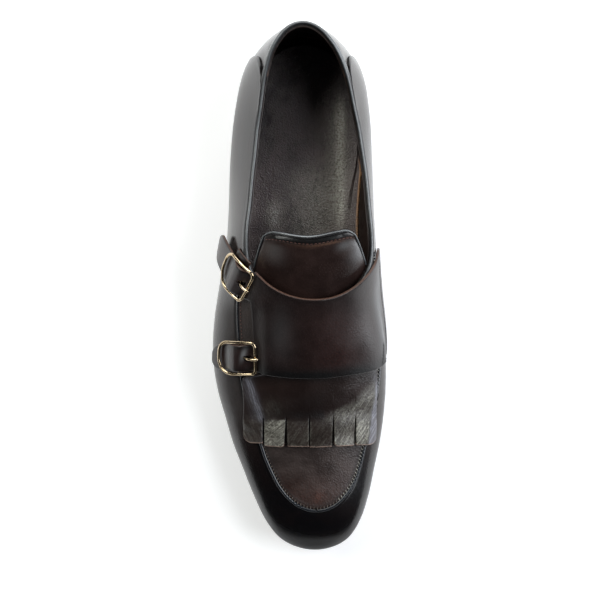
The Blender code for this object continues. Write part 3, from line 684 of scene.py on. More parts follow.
def buildGrain():  # small pebbles, pores and a slow mottle
    tree, given, result = startGroup("calfGrain", {"Vector": "Vector", "Scale": 900.0},
                                     ("Height", "Mottle", "Pore"))
    place = given["Vector"]
    wander = addNode(tree, "TexNoise", {"Vector": place, "Scale": 420.0, "Detail": 2.0}).outputs["Color"]
    shift = addNode(tree, "VectorMath", {0: wander, 1: (0.0009, 0.0009, 0.0009)}, operation="MULTIPLY")
    moved = addNode(tree, "VectorMath", {0: place, 1: shift.outputs[0]}, operation="ADD")
    pebble = addNode(tree, "TexVoronoi", feature="SMOOTH_F1")
    fillNode(tree, pebble, {"Vector": moved.outputs[0], "Scale": given["Scale"], "Smoothness": 0.6})
    bumps = mathNode(tree, "SUBTRACT", 1.0, pebble.outputs["Distance"])
    fine = times(tree, noiseNode(tree, place, 3200.0, 2.0, 0.6), 0.35)
    slow = noiseNode(tree, place, 75.0, 4.0, 0.6, 0.2)
    pore = noiseNode(tree, place, 1500.0, 1.0, 0.4)
    tree.links.new(plus(tree, fine, bumps), result["Height"])
    tree.links.new(rangeNode(tree, slow, 0.3, 0.7), result["Mottle"])
    tree.links.new(rangeNode(tree, pore, 0.33, 0.25), result["Pore"])
    return tree


def buildHairCreases():  # long fine creases along the vector's y
    tree, given, result = startGroup(
        "hairCreases",
        {"Vector": "Vector", "Scale": 260.0, "Stretch": 0.16, "Lines": 0.6},
        ("Height", "Line"),
    )
    scale = addNode(tree, "CombineXYZ", {"X": 1.0, "Z": 1.0, "Y": given["Stretch"]}).outputs[0]
    narrow = addNode(tree, "VectorMath", {0: given["Vector"], 1: scale}, operation="MULTIPLY").outputs[0]
    first = noiseNode(tree, narrow, given["Scale"], 2.0, 0.5, 0.15)
    second = noiseNode(tree, narrow, 90.0, 2.0, 0.5)
    ridge = mathNode(tree, "ABSOLUTE", mathNode(tree, "SUBTRACT", first, 0.5), 0.5)
    line = times(tree, rangeNode(tree, ridge, 0.035, 0.0), rangeNode(tree, second, 0.42, 0.62))
    tree.links.new(line, result["Line"])
    tree.links.new(mathNode(tree, "SUBTRACT", first, times(tree, line, given["Lines"])), result["Height"])
    return tree


def buildWearShadeAndSheen():  # a dyed surface with its burnished parts and painted shade, its rubbed parts and painted sheen, its painted highlights and its raw cut edge
    tree, given, result = startGroup(
        "wearShadeAndSheen",
        {**{name: "Color" for name in ("Base", "Burnish", "Rubbed", "Raw", "Pale")}, "Vector": "Vector",
         "Mottle": 0.5, "Spread": 0.5, "Strokes": 1.0},
        ("Color", "Edge"),
    )
    burnish, rubbed, raw, pale = (markNode(tree, name) for name in ("burnish", "rubbed", "raw", "pale"))
    ragged = noiseNode(tree, given["Vector"], 900.0, 3.0, 0.6)
    slow = times(tree, mathNode(tree, "SUBTRACT", given["Mottle"], 0.5), given["Spread"])
    value = plus(tree, slow, 1.0)
    colour = addNode(tree, "HueSaturation", {"Color": given["Base"], "Value": value}).outputs[0]
    uneven = times(tree, rangeNode(tree, ragged, 0.25, 0.6), given["Strokes"])
    darkened = plus(tree, burnish, times(tree, slow, burnish), True)
    raw = times(tree, raw, rangeNode(tree, ragged, 0.2, 0.5), True)
    for share, over in ((times(tree, rubbed, uneven, True), "Rubbed"),
                        (times(tree, pale, given["Strokes"], True), "Pale"), (darkened, "Burnish"), (raw, "Raw")):
        colour = mixColour(tree, share, colour, given[over])
    tree.links.new(colour, result["Color"])
    tree.links.new(raw, result["Edge"])
    return tree


grainGroup = buildGrain()
creaseGroup = buildHairCreases()
shadeAndSheenGroup = buildWearShadeAndSheen()


def newMaterial(name):
    material = bpy.data.materials.new(name)
    material.use_nodes = True
    tree = material.node_tree
    return material, tree, tree.nodes["Principled BSDF"].inputs


def useGroup(tree, group, **inputs):
    return fillNode(tree, addNode(tree, "Group", node_tree=group), inputs).outputs


leatherDefaults = {
    "base": (0.030, 0.024, 0.022),
    # burnish is burnished leather and painted shade, rubbed is rubbed wear and painted sheen, pale is painted
    # highlight
    "burnish": (0.005, 0.0045, 0.005),
    "rubbed": (0.085, 0.045, 0.032),
    "raw": (0.12, 0.055, 0.03),
    "pale": (0.16, 0.165, 0.17),
    "spread": 0.7,
    "rough": 0.42,
    "roughSpread": 0.12,
    "dullRough": 0.5,
    "grainScale": 950.0,
    "grainDepth": 0.00011,
    "pores": 0.1,
    "creaseScale": 230.0,
    "creaseStretch": 0.2,
    "creaseDepth": 0.00010,
    "creaseTurn": 0.0,
    "followsSheet": False,  # whether its creases run with the sheet's own marks
    "rawRough": 0.35,
    "lineShade": 0.45,
    "lineDepth": 0.6,
    "coat": 0.12,
    "coatRough": 0.3,
}


def leather(name, **changes):
    look = {**leatherDefaults, **changes}
    material, tree, shader = newMaterial(name)
    where = objectPlace(tree)
    grain = useGroup(tree, grainGroup, Vector=where, Scale=look["grainScale"])
    if look["followsSheet"]:
        laid = addNode(tree, "CombineXYZ", {"X": markNode(tree, "across"), "Y": markNode(tree, "along")})
    else:
        laid = addNode(tree, "Mapping", {"Vector": where, "Rotation": (0.0, 0.0, look["creaseTurn"])})
    crease = useGroup(tree, creaseGroup, Vector=laid.outputs[0], Scale=look["creaseScale"],
                      Stretch=look["creaseStretch"], Lines=look["lineDepth"])
    relief, strokes = crease["Height"], 1.0
    if look["followsSheet"]:
        relief = times(tree, relief, markNode(tree, "creased"))
        strokes = rangeNode(tree, crease["Height"], 0.38, 0.62, 0.4, 1.2)
    dyes = {dye.capitalize(): (*look[dye], 1.0) for dye in ("base", "burnish", "rubbed", "raw", "pale")}
    wearAndPaintedLight = useGroup(tree, shadeAndSheenGroup, **dyes, Vector=where, Mottle=grain["Mottle"], Spread=look["spread"],
                    Strokes=strokes)
    # crease lines are darkened towards the burnish colour: painted shade in the creases
    lines = times(tree, crease["Line"], look["lineShade"])
    tree.links.new(mixColour(tree, lines, wearAndPaintedLight["Color"], look["burnish"]), shader["Base Color"])
    dull = markNode(tree, "dull")
    rough = rangeNode(tree, grain["Mottle"], 0.0, 1.0, look["rough"] - look["roughSpread"],
                      look["rough"] + look["roughSpread"])
    rough = plus(tree, rough, times(tree, wearAndPaintedLight["Edge"], look["rawRough"]))
    tree.links.new(plus(tree, rough, times(tree, dull, look["dullRough"]), True), shader["Roughness"])
    tree.links.new(rangeNode(tree, dull, 0.0, 1.0, look["coat"], 0.0), shader["Coat Weight"])
    pores = mathNode(tree, "SUBTRACT", grain["Height"], times(tree, grain["Pore"], look["pores"]))
    creased = bumpNode(tree, relief, look["creaseDepth"])
    tree.links.new(bumpNode(tree, pores, look["grainDepth"], Normal=creased), shader["Normal"])
    shader["Coat Roughness"].default_value = look["coatRough"]
    return material


polish = {"coatRough": 0.12, "creaseDepth": 0.00002, "lineShade": 0.0, "lineDepth": 0.0}  # glossy, uncreased
black = (0.0012, 0.0010, 0.0016)
deepBrown = (0.002, 0.0018, 0.002)

sideMaterial = leather("sideLeather", **polish, base=(0.011, 0.0062, 0.0054), burnish=black,
                       rubbed=(0.03, 0.02, 0.017), rough=0.235, roughSpread=0.03, coat=0.2, grainDepth=0.00004)
pipingMaterial = leather("pipingLeather", **polish, base=(0.010, 0.012, 0.016), burnish=black, rough=0.2,
                         roughSpread=0.05, coat=0.3, grainDepth=0.00003)
plugMaterial = leather("apronLeather", base=(0.030, 0.021, 0.019), rubbed=(0.085, 0.032, 0.022), coat=0.04,
                       spread=0.9, grainDepth=0.00015, creaseDepth=0.00006, lineShade=0.12)
panelMaterial = leather("strapLeather", base=(0.012, 0.0065, 0.006), rubbed=(0.032, 0.011, 0.009),
                        burnish=deepBrown, raw=(0.085, 0.036, 0.02), rough=0.335, roughSpread=0.05,
                        grainDepth=0.00005, creaseDepth=0.00003, creaseTurn=0.5, lineShade=0.0, lineDepth=0.0)
# its rubbed colour is a painted grey sheen and its pale colour a painted lavender highlight
kiltieMaterial = leather("kiltieLeather", base=(0.0145, 0.0070, 0.0056), rubbed=(0.27, 0.265, 0.225),
                         burnish=deepBrown, raw=(0.3, 0.2, 0.16), pale=(0.18, 0.182, 0.215), rough=0.35,
                         roughSpread=0.065, followsSheet=True, creaseScale=1500.0, creaseStretch=0.065,
                         creaseDepth=0.00036, grainDepth=0.0001, lineShade=0.3)
tongueMaterial = leather("tongueLeather", base=(0.0165, 0.0082, 0.0068), rubbed=(0.05, 0.034, 0.027),
                         burnish=(0.003, 0.0025, 0.0025), rough=0.34, roughSpread=0.055, grainDepth=0.00006,
                         creaseDepth=0.00003, lineShade=0.0, lineDepth=0.0)
bindingMaterial = leather("bindingLeather", base=(0.011, 0.012, 0.016), pale=(0.3, 0.325, 0.33), rough=0.2,
                          roughSpread=0.05, coat=0.35, coatRough=0.14, creaseScale=800.0, creaseStretch=0.3,
                          creaseTurn=0.8, creaseDepth=0.00018, grainScale=1400.0, grainDepth=0.00009)
liningMaterial = leather("liningLeather", base=(0.016, 0.0088, 0.0068), rubbed=(0.09, 0.045, 0.03),
                         burnish=(0.003, 0.002, 0.002), raw=(0.11, 0.06, 0.035), coat=0.05)
# its rubbed colour is a painted pale sheen
sockMaterial = leather("sockLeather", base=(0.114, 0.090, 0.087), rubbed=(0.5, 0.48, 0.42),
                       burnish=(0.0105, 0.0056, 0.0056), raw=(0.45, 0.25, 0.13), rough=0.33, roughSpread=0.045,
                       coat=0.22, coatRough=0.25, grainScale=1250.0, grainDepth=0.00045, spread=0.8)
soleMaterial = leather("soleLeather", base=(0.030, 0.016, 0.010), burnish=(0.008, 0.006, 0.005),
                       rubbed=(0.28, 0.17, 0.09), rough=0.4, roughSpread=0.1, coat=0.3, creaseDepth=0.00004)
heelMaterial = leather("heelLeather", base=(0.016, 0.010, 0.008), rough=0.34, roughSpread=0.055, coat=0.4,
                       creaseDepth=0.00004)


def buildThread():
    tree, given, result = startGroup("threadTwist", {"Vector": "Vector"}, ("Height", "Shade"))
    twist = addNode(tree, "TexWave", {"Vector": given["Vector"], "Scale": 900.0, "Distortion": 2.0},
                    bands_direction="DIAGONAL")
    fuzz = noiseNode(tree, given["Vector"], 2600.0, 2.0, 0.6)
    tree.links.new(plus(tree, twist.outputs["Fac"], fuzz), result["Height"])
    tree.links.new(rangeNode(tree, fuzz, 0.3, 0.7, 0.7, 1.15), result["Shade"])
    return tree


threadGroup = buildThread()


def thread(name, *colour):
    material, tree, shader = newMaterial(name)
    made = useGroup(tree, threadGroup, Vector=objectPlace(tree))
    tinted = addNode(tree, "HueSaturation", {"Color": (*colour, 1.0), "Value": made["Shade"]})
    tree.links.new(tinted.outputs[0], shader["Base Color"])
    tree.links.new(bumpNode(tree, made["Height"], 0.00008, 0.8), shader["Normal"])
    shader["Roughness"].default_value = 0.55
    shader["Sheen Weight"].default_value = 0.2
    return material



# the whip seam's pale and dark threads are one thread, painted lit and shaded
litThread = thread("litThread", 0.3, 0.285, 0.25)
blackThread = thread("blackThread", 0.006, 0.005, 0.005)
shadedThread = thread("shadedThread", 0.10, 0.078, 0.062)

rustThread = thread("rustThread", 0.10, 0.028, 0.016)


def buildBrass():
    material, tree, shader = newMaterial("paleBrass")
    where = objectPlace(tree)
    slow, toneShift = noiseNode(tree, where, 260.0, 3.0, 0.5), noiseNode(tree, where, 1100.0, 4.0, 0.6)
    tone = mixColour(tree, rangeNode(tree, slow, 0.35, 0.65), (0.72, 0.58, 0.40), (0.42, 0.32, 0.19))
    tone = mixColour(tree, rangeNode(tree, toneShift, 0.66, 0.74), tone, (0.30, 0.21, 0.13))
    tree.links.new(tone, shader["Base Color"])
    tree.links.new(rangeNode(tree, toneShift, 0.3, 0.7, 0.09, 0.2), shader["Roughness"])
    tree.links.new(bumpNode(tree, toneShift, 0.00003, 0.5), shader["Normal"])
    shader["Metallic"].default_value = 1.0
    return material


def buildRubber():
    material, tree, shader = newMaterial("heelRubber")
    grain = useGroup(tree, grainGroup, Vector=objectPlace(tree), Scale=1600.0)
    tone = mixColour(tree, grain["Mottle"], (0.010, 0.010, 0.011), (0.022, 0.021, 0.020))
    tree.links.new(tone, shader["Base Color"])
    tree.links.new(bumpNode(tree, grain["Height"], 0.00008, 0.8), shader["Normal"])
    tree.links.new(rangeNode(tree, grain["Mottle"], 0.0, 1.0, 0.55, 0.75), shader["Roughness"])
    return material


brassMaterial = buildBrass()
rubberMaterial = buildRubber()
# near-black, for the painted shade inside the stitch holes
holeShadeMaterial = leather("paintedHoleShade", base=(0.003, 0.003, 0.003), rough=0.8, coat=0.0)
print("materials ready")


def rimDistance(points, outline):  # of each point from a closed or open outline of points
    flat = points.reshape(-1, 3)
    found = np.empty(len(flat))
    for start in range(0, len(flat), 2000):
        block = flat[start:start + 2000, None] - outline[None]
        found[start:start + 2000] = np.sqrt((block**2).sum(-1).min(1))
    return found.reshape(points.shape[:2])


def seated(base, tau):  # brings the lowest rows down onto the sole
    low = np.clip(1 - (2 - np.abs(tau)) / 0.12, 0, 1)
    base = base.copy()
    base[..., 2] -= lastShape["gap"] * low
    return base


# The side leather: quarters and mudguard in one, from the lobes at the heel round the toe.

flexCreases = (  # s, side, how far down the wall it runs, depth
    (196, -1, 17, 0.06), (204, -1, 21, 0.10), (212.5, -1, 20, 0.09), (221, -1, 15, 0.06),
    (199, 1, 19, 0.08), (207.5, 1, 22, 0.11), (216, 1, 18, 0.08), (226, 1, 12, 0.05),
)


def sideCreases(s, tau, depth):
    total = 0
    for place, side, run, deep in flexCreases:
        leaning = s - place - 0.18 * depth + 0.8 * np.sin(depth / 5.0 + place)
        within = (tau * side > 0) * between(depth, 0.5, 4, run * 0.5, run)
        total = total - deep * bump(leaning, 0, 1.5) * within + 0.6 * deep * bump(leaning, 3, 2.2) * within
    return total


def makeSides():
    base, s, tau, depth = seated(skin["base"], skin["tau"]), skin["s"], skin["tau"], skin["depth"]
    rear = edgeDistance(base, "west east")
    front = np.zeros(base.shape[:2])
    front[skin["front"]] = 1.0
    groove = 0.35 * bump(depth, 2.45, 0.55) * front * ease(s, 126, 131)
    lift = (-sideLeather["thick"] + sideLeather["rearProud"] * (1 - ease(rear, 2, 28)) - groove
            + sideCreases(s, tau, depth))
    toeDark = ease(s, 214, 262)
    nearSole = 1 - ease(edgeDistance(base, "north"), 0.5, 5.0)
    # burnish: darker towards the toe, painted shade near the sole and in the groove beside the piping, and the
    # rear edge darkened
    burnish = np.clip(0.95 * toeDark + 0.75 * nearSole + 0.9 * bump(depth, 2.5, 1) * front
                      + 0.9 * (1 - ease(rear, 0.3, 1.3)), 0, 1)
    dull = 0.7 * between(s, 146, 160, 200, 235) * (tau < 0) * (1 - ease(depth, 5, 24))
    # a painted shadow line runs along the collar's edge; rubbed is a lighter band beside the apron seam; pale
    # paints highlight lines below the collar and along the rear edge
    marks = {
        "burnish": np.maximum(burnish, (1 - ease(depth, 0.7, 1.5)) * (1 - front)),
        "rubbed": 0.25 * bump(depth, 5.5, 2.5) * front * (1 - toeDark),
        "pale": 0.7 * bump(depth, 2.1, 0.6) * (1 - front) + 0.5 * bump(rear, 1.9, 0.5) * (depth > 1),
        "dull": dull + 0.55 * ease(s, 262, 284) * ease(depth, 15, 24),
    }
    rim = np.minimum(rear, np.where(front > 0, depth + 0.35, 99.0))
    sheetPiece("sideLeather", base, outNormals(base), lift, sideLeather["thick"], rim, marks, sideMaterial,
               "upper", 0.5)


def wrapGrid(edgeS, columns, rows, to=1.0):  # round the heel, from the outer side to the inner
    share = np.linspace(0, 1, rows)[None, :]
    along = np.linspace(-1, 1, columns)[:, None]
    s = stationAt(np.abs(along) * alongFoot(edgeS(share)))
    share = np.broadcast_to(share * to, s.shape)
    side = np.broadcast_to(np.where(along < 0, -1.0, 1.0), s.shape)
    t = wallPath(s, side, share)
    return lastPoint(s, side, t), s, side * (2 - t), share


def makeCounter():
    overlap = sideLeather["counterOverlap"]
    edge = sideLeather["rearEdge"]
    base, _, tau, share = wrapGrid(lambda down: readRows(edge, "s", down) + overlap, 101, 52)
    base = seated(base, tau)
    within = edgeDistance(base, "west east") - overlap
    sunk = sideLeather["counterSunk"] * (1 - ease(within, 1, 14))
    below = runAlong(base, 1)
    # burnish: a painted shadow under the quarter's raised edge and painted shade at the sole and under the
    # binding; pale: a painted highlight line below the binding and a painted paler counter below it; rubbed:
    # lighter lower down
    marks = {
        "burnish": np.clip(0.8 * bump(within, 0, 1.2) + 0.7 * (1 - ease(1 - share, 0.01, 0.1))
                           + 1 - ease(below, 0.7, 1.5), 0, 1),
        "rubbed": 0.25 * ease(below, 2, 8),
        "pale": 0.7 * bump(below, 2.1, 0.6) + 0.12 * ease(below, 2, 5),
    }
    sheetPiece("counter", base, outNormals(base), -sideLeather["thick"] - sunk, sideLeather["thick"], uncut,
               marks, sideMaterial, "upper")


# The plug: top of the vamp inside the apron seam, out to the opening's edge at the back.

plugShape = {
    "thick": 1.1,
    "spineEnd": 261.0,
    "throatShare": 0.36,  # share of each half seam whose ribs end on the opening
    "near": (0.0, 0.3, 0.7, 1.1, 1.6, 2.1, 2.7, 3.4, 4.4, 6.0),
    "farRows": 22,
    "creases": (  # soft troughs between the kiltie and the toe: s, x, half length, depth, lean
        (238.5, 4, 21, 0.10, 0.05), (243.5, 10, 16, 0.07, -0.10),
        (248, 2, 15, 0.05, 0.12),
    ),
}


def makePlug():
    count = sideLeather["apronColumns"]
    x, s, _ = apronCurve(count)
    g = 1 - np.abs(np.linspace(-1, 1, count))  # 0 at the collar, 1 at the toe
    split = plugShape["throatShare"]
    throat, start, end = lastShape["throat"], apronSeam["from"], plugShape["spineEnd"]
    spineS = np.where(g < split, start + (throat - start) * np.clip(g / split, 0, 1) ** 0.9,
                      throat + (end - throat) * np.clip((g - split) / (1 - split), 0, 1))
    side = np.where(np.arange(count) < count // 2, -1.0, 1.0)
    edgeX = lastPoint(spineS, side, openingShare(spineS, side))[..., 0]
    spineX = np.where(spineS < throat, edgeX, tableValue(profileTable, "ridge_x", spineS))
    share = np.linspace(0, 1, 90)[None, :]
    planX = x[:, None] + share * (spineX - x)[:, None]
    planS = s[:, None] + share * (spineS - s)[:, None]
    s, tau, depth = rowsDown(planS, planShare(planX, planS), plugShape["near"], plugShape["farRows"])
    base = fromRidge(s, tau)
    lift = -plugShape["thick"] + 0.10 * bump(depth, 1.4, 0.8) - 0.08 * bump(depth, 2.7, 0.8)
    planX = base[..., 0]
    for place, middle, reach, deep, lean in plugShape["creases"]:
        off = s - place - lean * (planX - middle) - 0.9 * np.sin(planX / 6.0 + place)
        along = bump(planX, middle, reach * 0.7)
        lift = lift - deep * bump(off, 0, 1.3) * along + 0.7 * deep * bump(off, 2.8, 2) * along
    lift = lift + 0.10 * np.sin(planX / 9.0 + s / 13.0) * ease(depth, 3, 9)
    # burnish: painted shade beside and under the piping; rubbed: a reddish rubbed spot near the toe
    marks = {
        "burnish": np.clip(0.35 * bump(depth, 1.8, 0.9) + 0.5 * ease(depth, 0.6, 0), 0, 1),
        "rubbed": bump(s, 262, 12) * 0.25 + 0.5 * bump(np.hypot((planX - 9) * 1.3, s - 262), 0, 3.5),
        "dull": 0.75 * (1 - ease(s, 186, 200)) * (planX < -15),
    }
    sheetPiece("apronPlug", base, outNormals(base), lift, plugShape["thick"], depth + 0.1, marks, plugMaterial,
               "upper", 0.5, True)


# The apron seam: a raised cord of leather, whipped to the plug.

whipSeam = {
    "pitch": 1.98,
    "radius": 0.92,
    "out": 1.05,
    "lift": 0.12,
    "reach": (0.3, -1.25),
    "slant": 0.7,
    "halfWide": 0.21,
}


def seamFrame(count):  # points on the apron seam with directions along, outwards and up
    x, s, _ = apronCurve(count)
    tau = planShare(x, s)
    path = fromRidge(s, tau)
    ahead = unit(np.gradient(path, axis=0))
    side, t = np.where(tau < 0, -1.0, 1.0), 2 - np.abs(tau)
    across = lastPoint(s, side, np.maximum(t - 0.02, 0)) - lastPoint(s, side, t)
    up = np.cross(ahead, across)
    up = unit(up * np.sign(up[:, 2:]))
    out = np.cross(ahead, up)
    away = out * (path - np.array([6.0, -120.0, 0.0]))
    out *= np.sign(np.sum(away[:, :2], axis=1))[:, None]
    return path, ahead, out, up, s


def makeSeam():
    path, ahead, out, up, s = seamFrame(1401)
    squeeze = 1 - 0.07 * (0.5 + 0.5 * np.cos(2 * math.pi * runAlong(path, 0) / whipSeam["pitch"]))
    finer = 1 - 0.5 * (1 - ease(s, 176, 190)) * (path[:, 0] < 0)
    middle = path + (whipSeam["out"] * finer)[:, None] * out + whipSeam["lift"] * up
    high = whipSeam["radius"] * squeeze * finer
    cordPiece("apronPiping", middle, up, high, 1.08 * high, 10, (pipingMaterial, "upper_leather", "upper"))
    places = evenly(path, whipSeam["pitch"])[1:-1]
    at, along, away, high, station = (pick(values, places) for values in (path, ahead, out, up, s))
    start, end = whipSeam["reach"]
    slant = np.clip((8.0 - at[:, :1]) / 8.0, -1, 1) * whipSeam["slant"]
    starts = at + start * away + 0.75 * high + 0.5 * slant * along
    ends = at + end * away + 0.12 * high - 0.5 * slant * along
    # the inner flank's stitches get the pale thread, painted lit, and the other whip stitches the dark one,
    # painted shaded
    inner = (at[:, 0] > 9.0) & (station < 264)
    free = (at[:, 0] < 0) & (station < 182)  # the short run between the straps is sewn flat
    starts[free] = at[free] - 1.7 * away[free] + 0.1 * high[free]
    ends[free] = starts[free] + 1.1 * along[free]
    for name, kept, material in (("whipOuter", ~inner & ~free, shadedThread), ("whipInner", inner, litThread),
                                 ("flatStitches", free, rustThread)):
        stitchPiece(name, starts[kept], ends[kept], high[kept], material, "upper", whipSeam["halfWide"],
                    whipSeam["halfWide"])
    # near-black blobs at the stitch holes: painted shade inside the holes
    holes, away, high = ends[~free], away[~free], high[~free]
    stitchPiece("whipHoles", holes + 0.2 * away + 0.04 * high, holes - 0.35 * away - 0.02 * high, high,
                holeShadeMaterial, "upper", 0.26, 0.12)


# Binding round the opening, its inner fold and the lining.

collar = {
    "halfAcross": 1.15,
    "halfDown": 1.75,
    "depth": 0.85,
    "drop": 0.5,
    "foldDepth": 2.75,
    "foldHalf": 0.6,
    "foldWide": 0.78,
    "foldDrop": 0.75,
}


def collarFrame(count):  # points on the opening's edge, the wall's normal and the way down the wall
    half = lastShape["throat"] * crowded(count)  # along the outer side and back along the inner
    s = np.concatenate([half, half[-2:0:-1]])
    side = np.where(np.arange(len(s)) < count, -1.0, 1.0)
    t = openingShare(s, side)
    path = lastPoint(s, side, t)
    ahead = unit(np.roll(path, -1, axis=0) - np.roll(path, 1, axis=0))
    behind, before = np.clip(s - 0.8, 0, None), np.clip(s + 0.8, 0.4, None)
    along = lastPoint(before, side, t - 0.01) - lastPoint(behind, side, t - 0.01)
    lower = lastPoint(s, side, t - 0.03) - lastPoint(s, side, t - 0.01)
    lower[s < 0.5] = (0.0, 0.1, -1.0)
    along[s < 0.5] = (1.0, 0.0, 0.0)
    normal = unit(np.cross(along, lower))
    middle = np.array([1.0, lastShape["originS"] - 80.0, 45.0])
    normal *= np.sign(dot(normal, path - middle))[:, None]
    down = np.cross(ahead, normal)
    return path, normal, down * np.sign(dot(down, lower))[:, None], s


def makeCollar():
    path, normal, down, s = collarFrame(261)
    waist = ease(s, 22, 34)[:, None]

    def shadeBinding(place, way):
        # painted highlights on the roll's top and, round the heel, on its outer side; painted shade on its
        # inner side and, along the sides, a painted shadow line at its outer edge
        outwards = dot(way, normal[:, None])
        pale = 0.4 * bump(outwards, 0.3, 0.25) * ease(way[..., 2], 0.3, 0.8)
        pale = pale + 0.35 * bump(outwards, 0.9, 0.2) * (1 - waist) * ease(way[..., 2], -0.2, 0.3)
        dark = np.clip(ease(-outwards, 0, 0.35) + 0.9 * bump(outwards, 0.8, 0.2) * waist, 0, 1)
        return {"pale": pale, "burnish": dark, "dull": 0.9 * dark}

    cordPiece("collarBinding", path - collar["depth"] * normal + collar["drop"] * down, normal,
              collar["halfAcross"], collar["halfDown"], 20, (bindingMaterial, "binding_leather", "upper"), True,
              shadeBinding)
    cordPiece("collarFold", path - collar["foldDepth"] * normal + collar["foldDrop"] * down, normal,
              collar["foldHalf"], collar["foldWide"], 8, (liningMaterial, "lining_leather", "upper"), True)


liningShape = {
    "to": 205.0,  # where the quarter lining ends and the vamp lining starts, less its overlap
    "overlap": 3.0,
    "lift": -2.15,
    "thick": 0.95,
    "gripTo": 30.0,
    "gripShare": 0.62,  # how far down the wall the heel grip's lower layer reaches
    "gripLift": -2.95,
    "gripThick": 0.7,
}


def liningSheet(name, base, lift, thick, rim, marks):
    sheetPiece(name, base, outNormals(base), lift, thick, rim, marks, liningMaterial, "upper")


def makeLining():
    lift, thick = liningShape["lift"], liningShape["thick"]
    base, s, tau, share = wrapGrid(lambda share: np.full_like(share, liningShape["to"]), 181, 44)
    # painted shade inside the heel and below the collar
    dark = np.clip(0.75 * (1 - ease(s, 20, 60)) + 0.35 * (1 - ease(share, 0, 0.12)), 0, 1)
    liningSheet("quarterLining", base, lift, thick, uncut, {"burnish": dark})
    s = stationAt(np.linspace(alongFoot(liningShape["to"] - liningShape["overlap"]), 0.9985, 60)[:, None])
    s, tau = np.broadcast_arrays(s, np.linspace(-2, 2, 61)[None, :])
    liningSheet("vampLining", fromRidge(s, tau), lift, thick, uncut, {})


def makeGrip():  # the heel grip's scalloped lower layer inside the back
    base, _, _, share = wrapGrid(lambda share: np.full_like(share, liningShape["gripTo"]), 121, 40,
                                 liningShape["gripShare"])
    rim = edgeDistance(base, "west east north")
    column = np.linspace(0, 1, 121)[:, None]
    scallop = 1.1 * np.sin(column * 61) + 0.7 * np.sin(column * 23 + 1)
    lowered = base - np.array([0, 0, 1.0]) * (scallop * ease(share, 0.5, 0.62))[..., None]
    marks = {"raw": 1 - ease(rim, 0.2, 1.6), "rubbed": 1 - ease(rim, 0.5, 6)}
    sheetPiece("heelGrip", lowered, outNormals(base), liningShape["gripLift"], liningShape["gripThick"], rim,
               marks, liningMaterial, "upper")


# Insole board with the leather sock on it.

sockShape = {
    "margin": 2.9,
    "cup": 1.2,
    "board": 2.0,
    "thick": 1.0,
    "climb": 0.28,  # share of the lower wall that its inner edge climbs at the waist
    "climbFrom": (58.0, 78.0),
    "climbTo": (116.0, 134.0),
    "wallRows": 8,
    "wallDepths": (2.3, 3.25),  # of its two faces, inside the last
}


def acrossSole(s, q, more):
    outerX, outerS = tucked(s, -1.0, more)
    innerX, innerS = tucked(s, 1.0, more)
    return outerX + q * (innerX - outerX), outerS + q * (innerS - outerS)


def sockWall(s, side, share, depth):  # on the lining, a share of the way up the lower wall
    point = lastPoint(s, side, share)
    ahead = lastPoint(s + 0.4, side, share) - lastPoint(s - 0.4, side, share)
    inward = np.cross(ahead, lastPoint(s, side, share + 0.02) - point) * side[..., None]
    return point + unit(inward * np.sign(inward[..., 2:] + 1e-9)) * depth


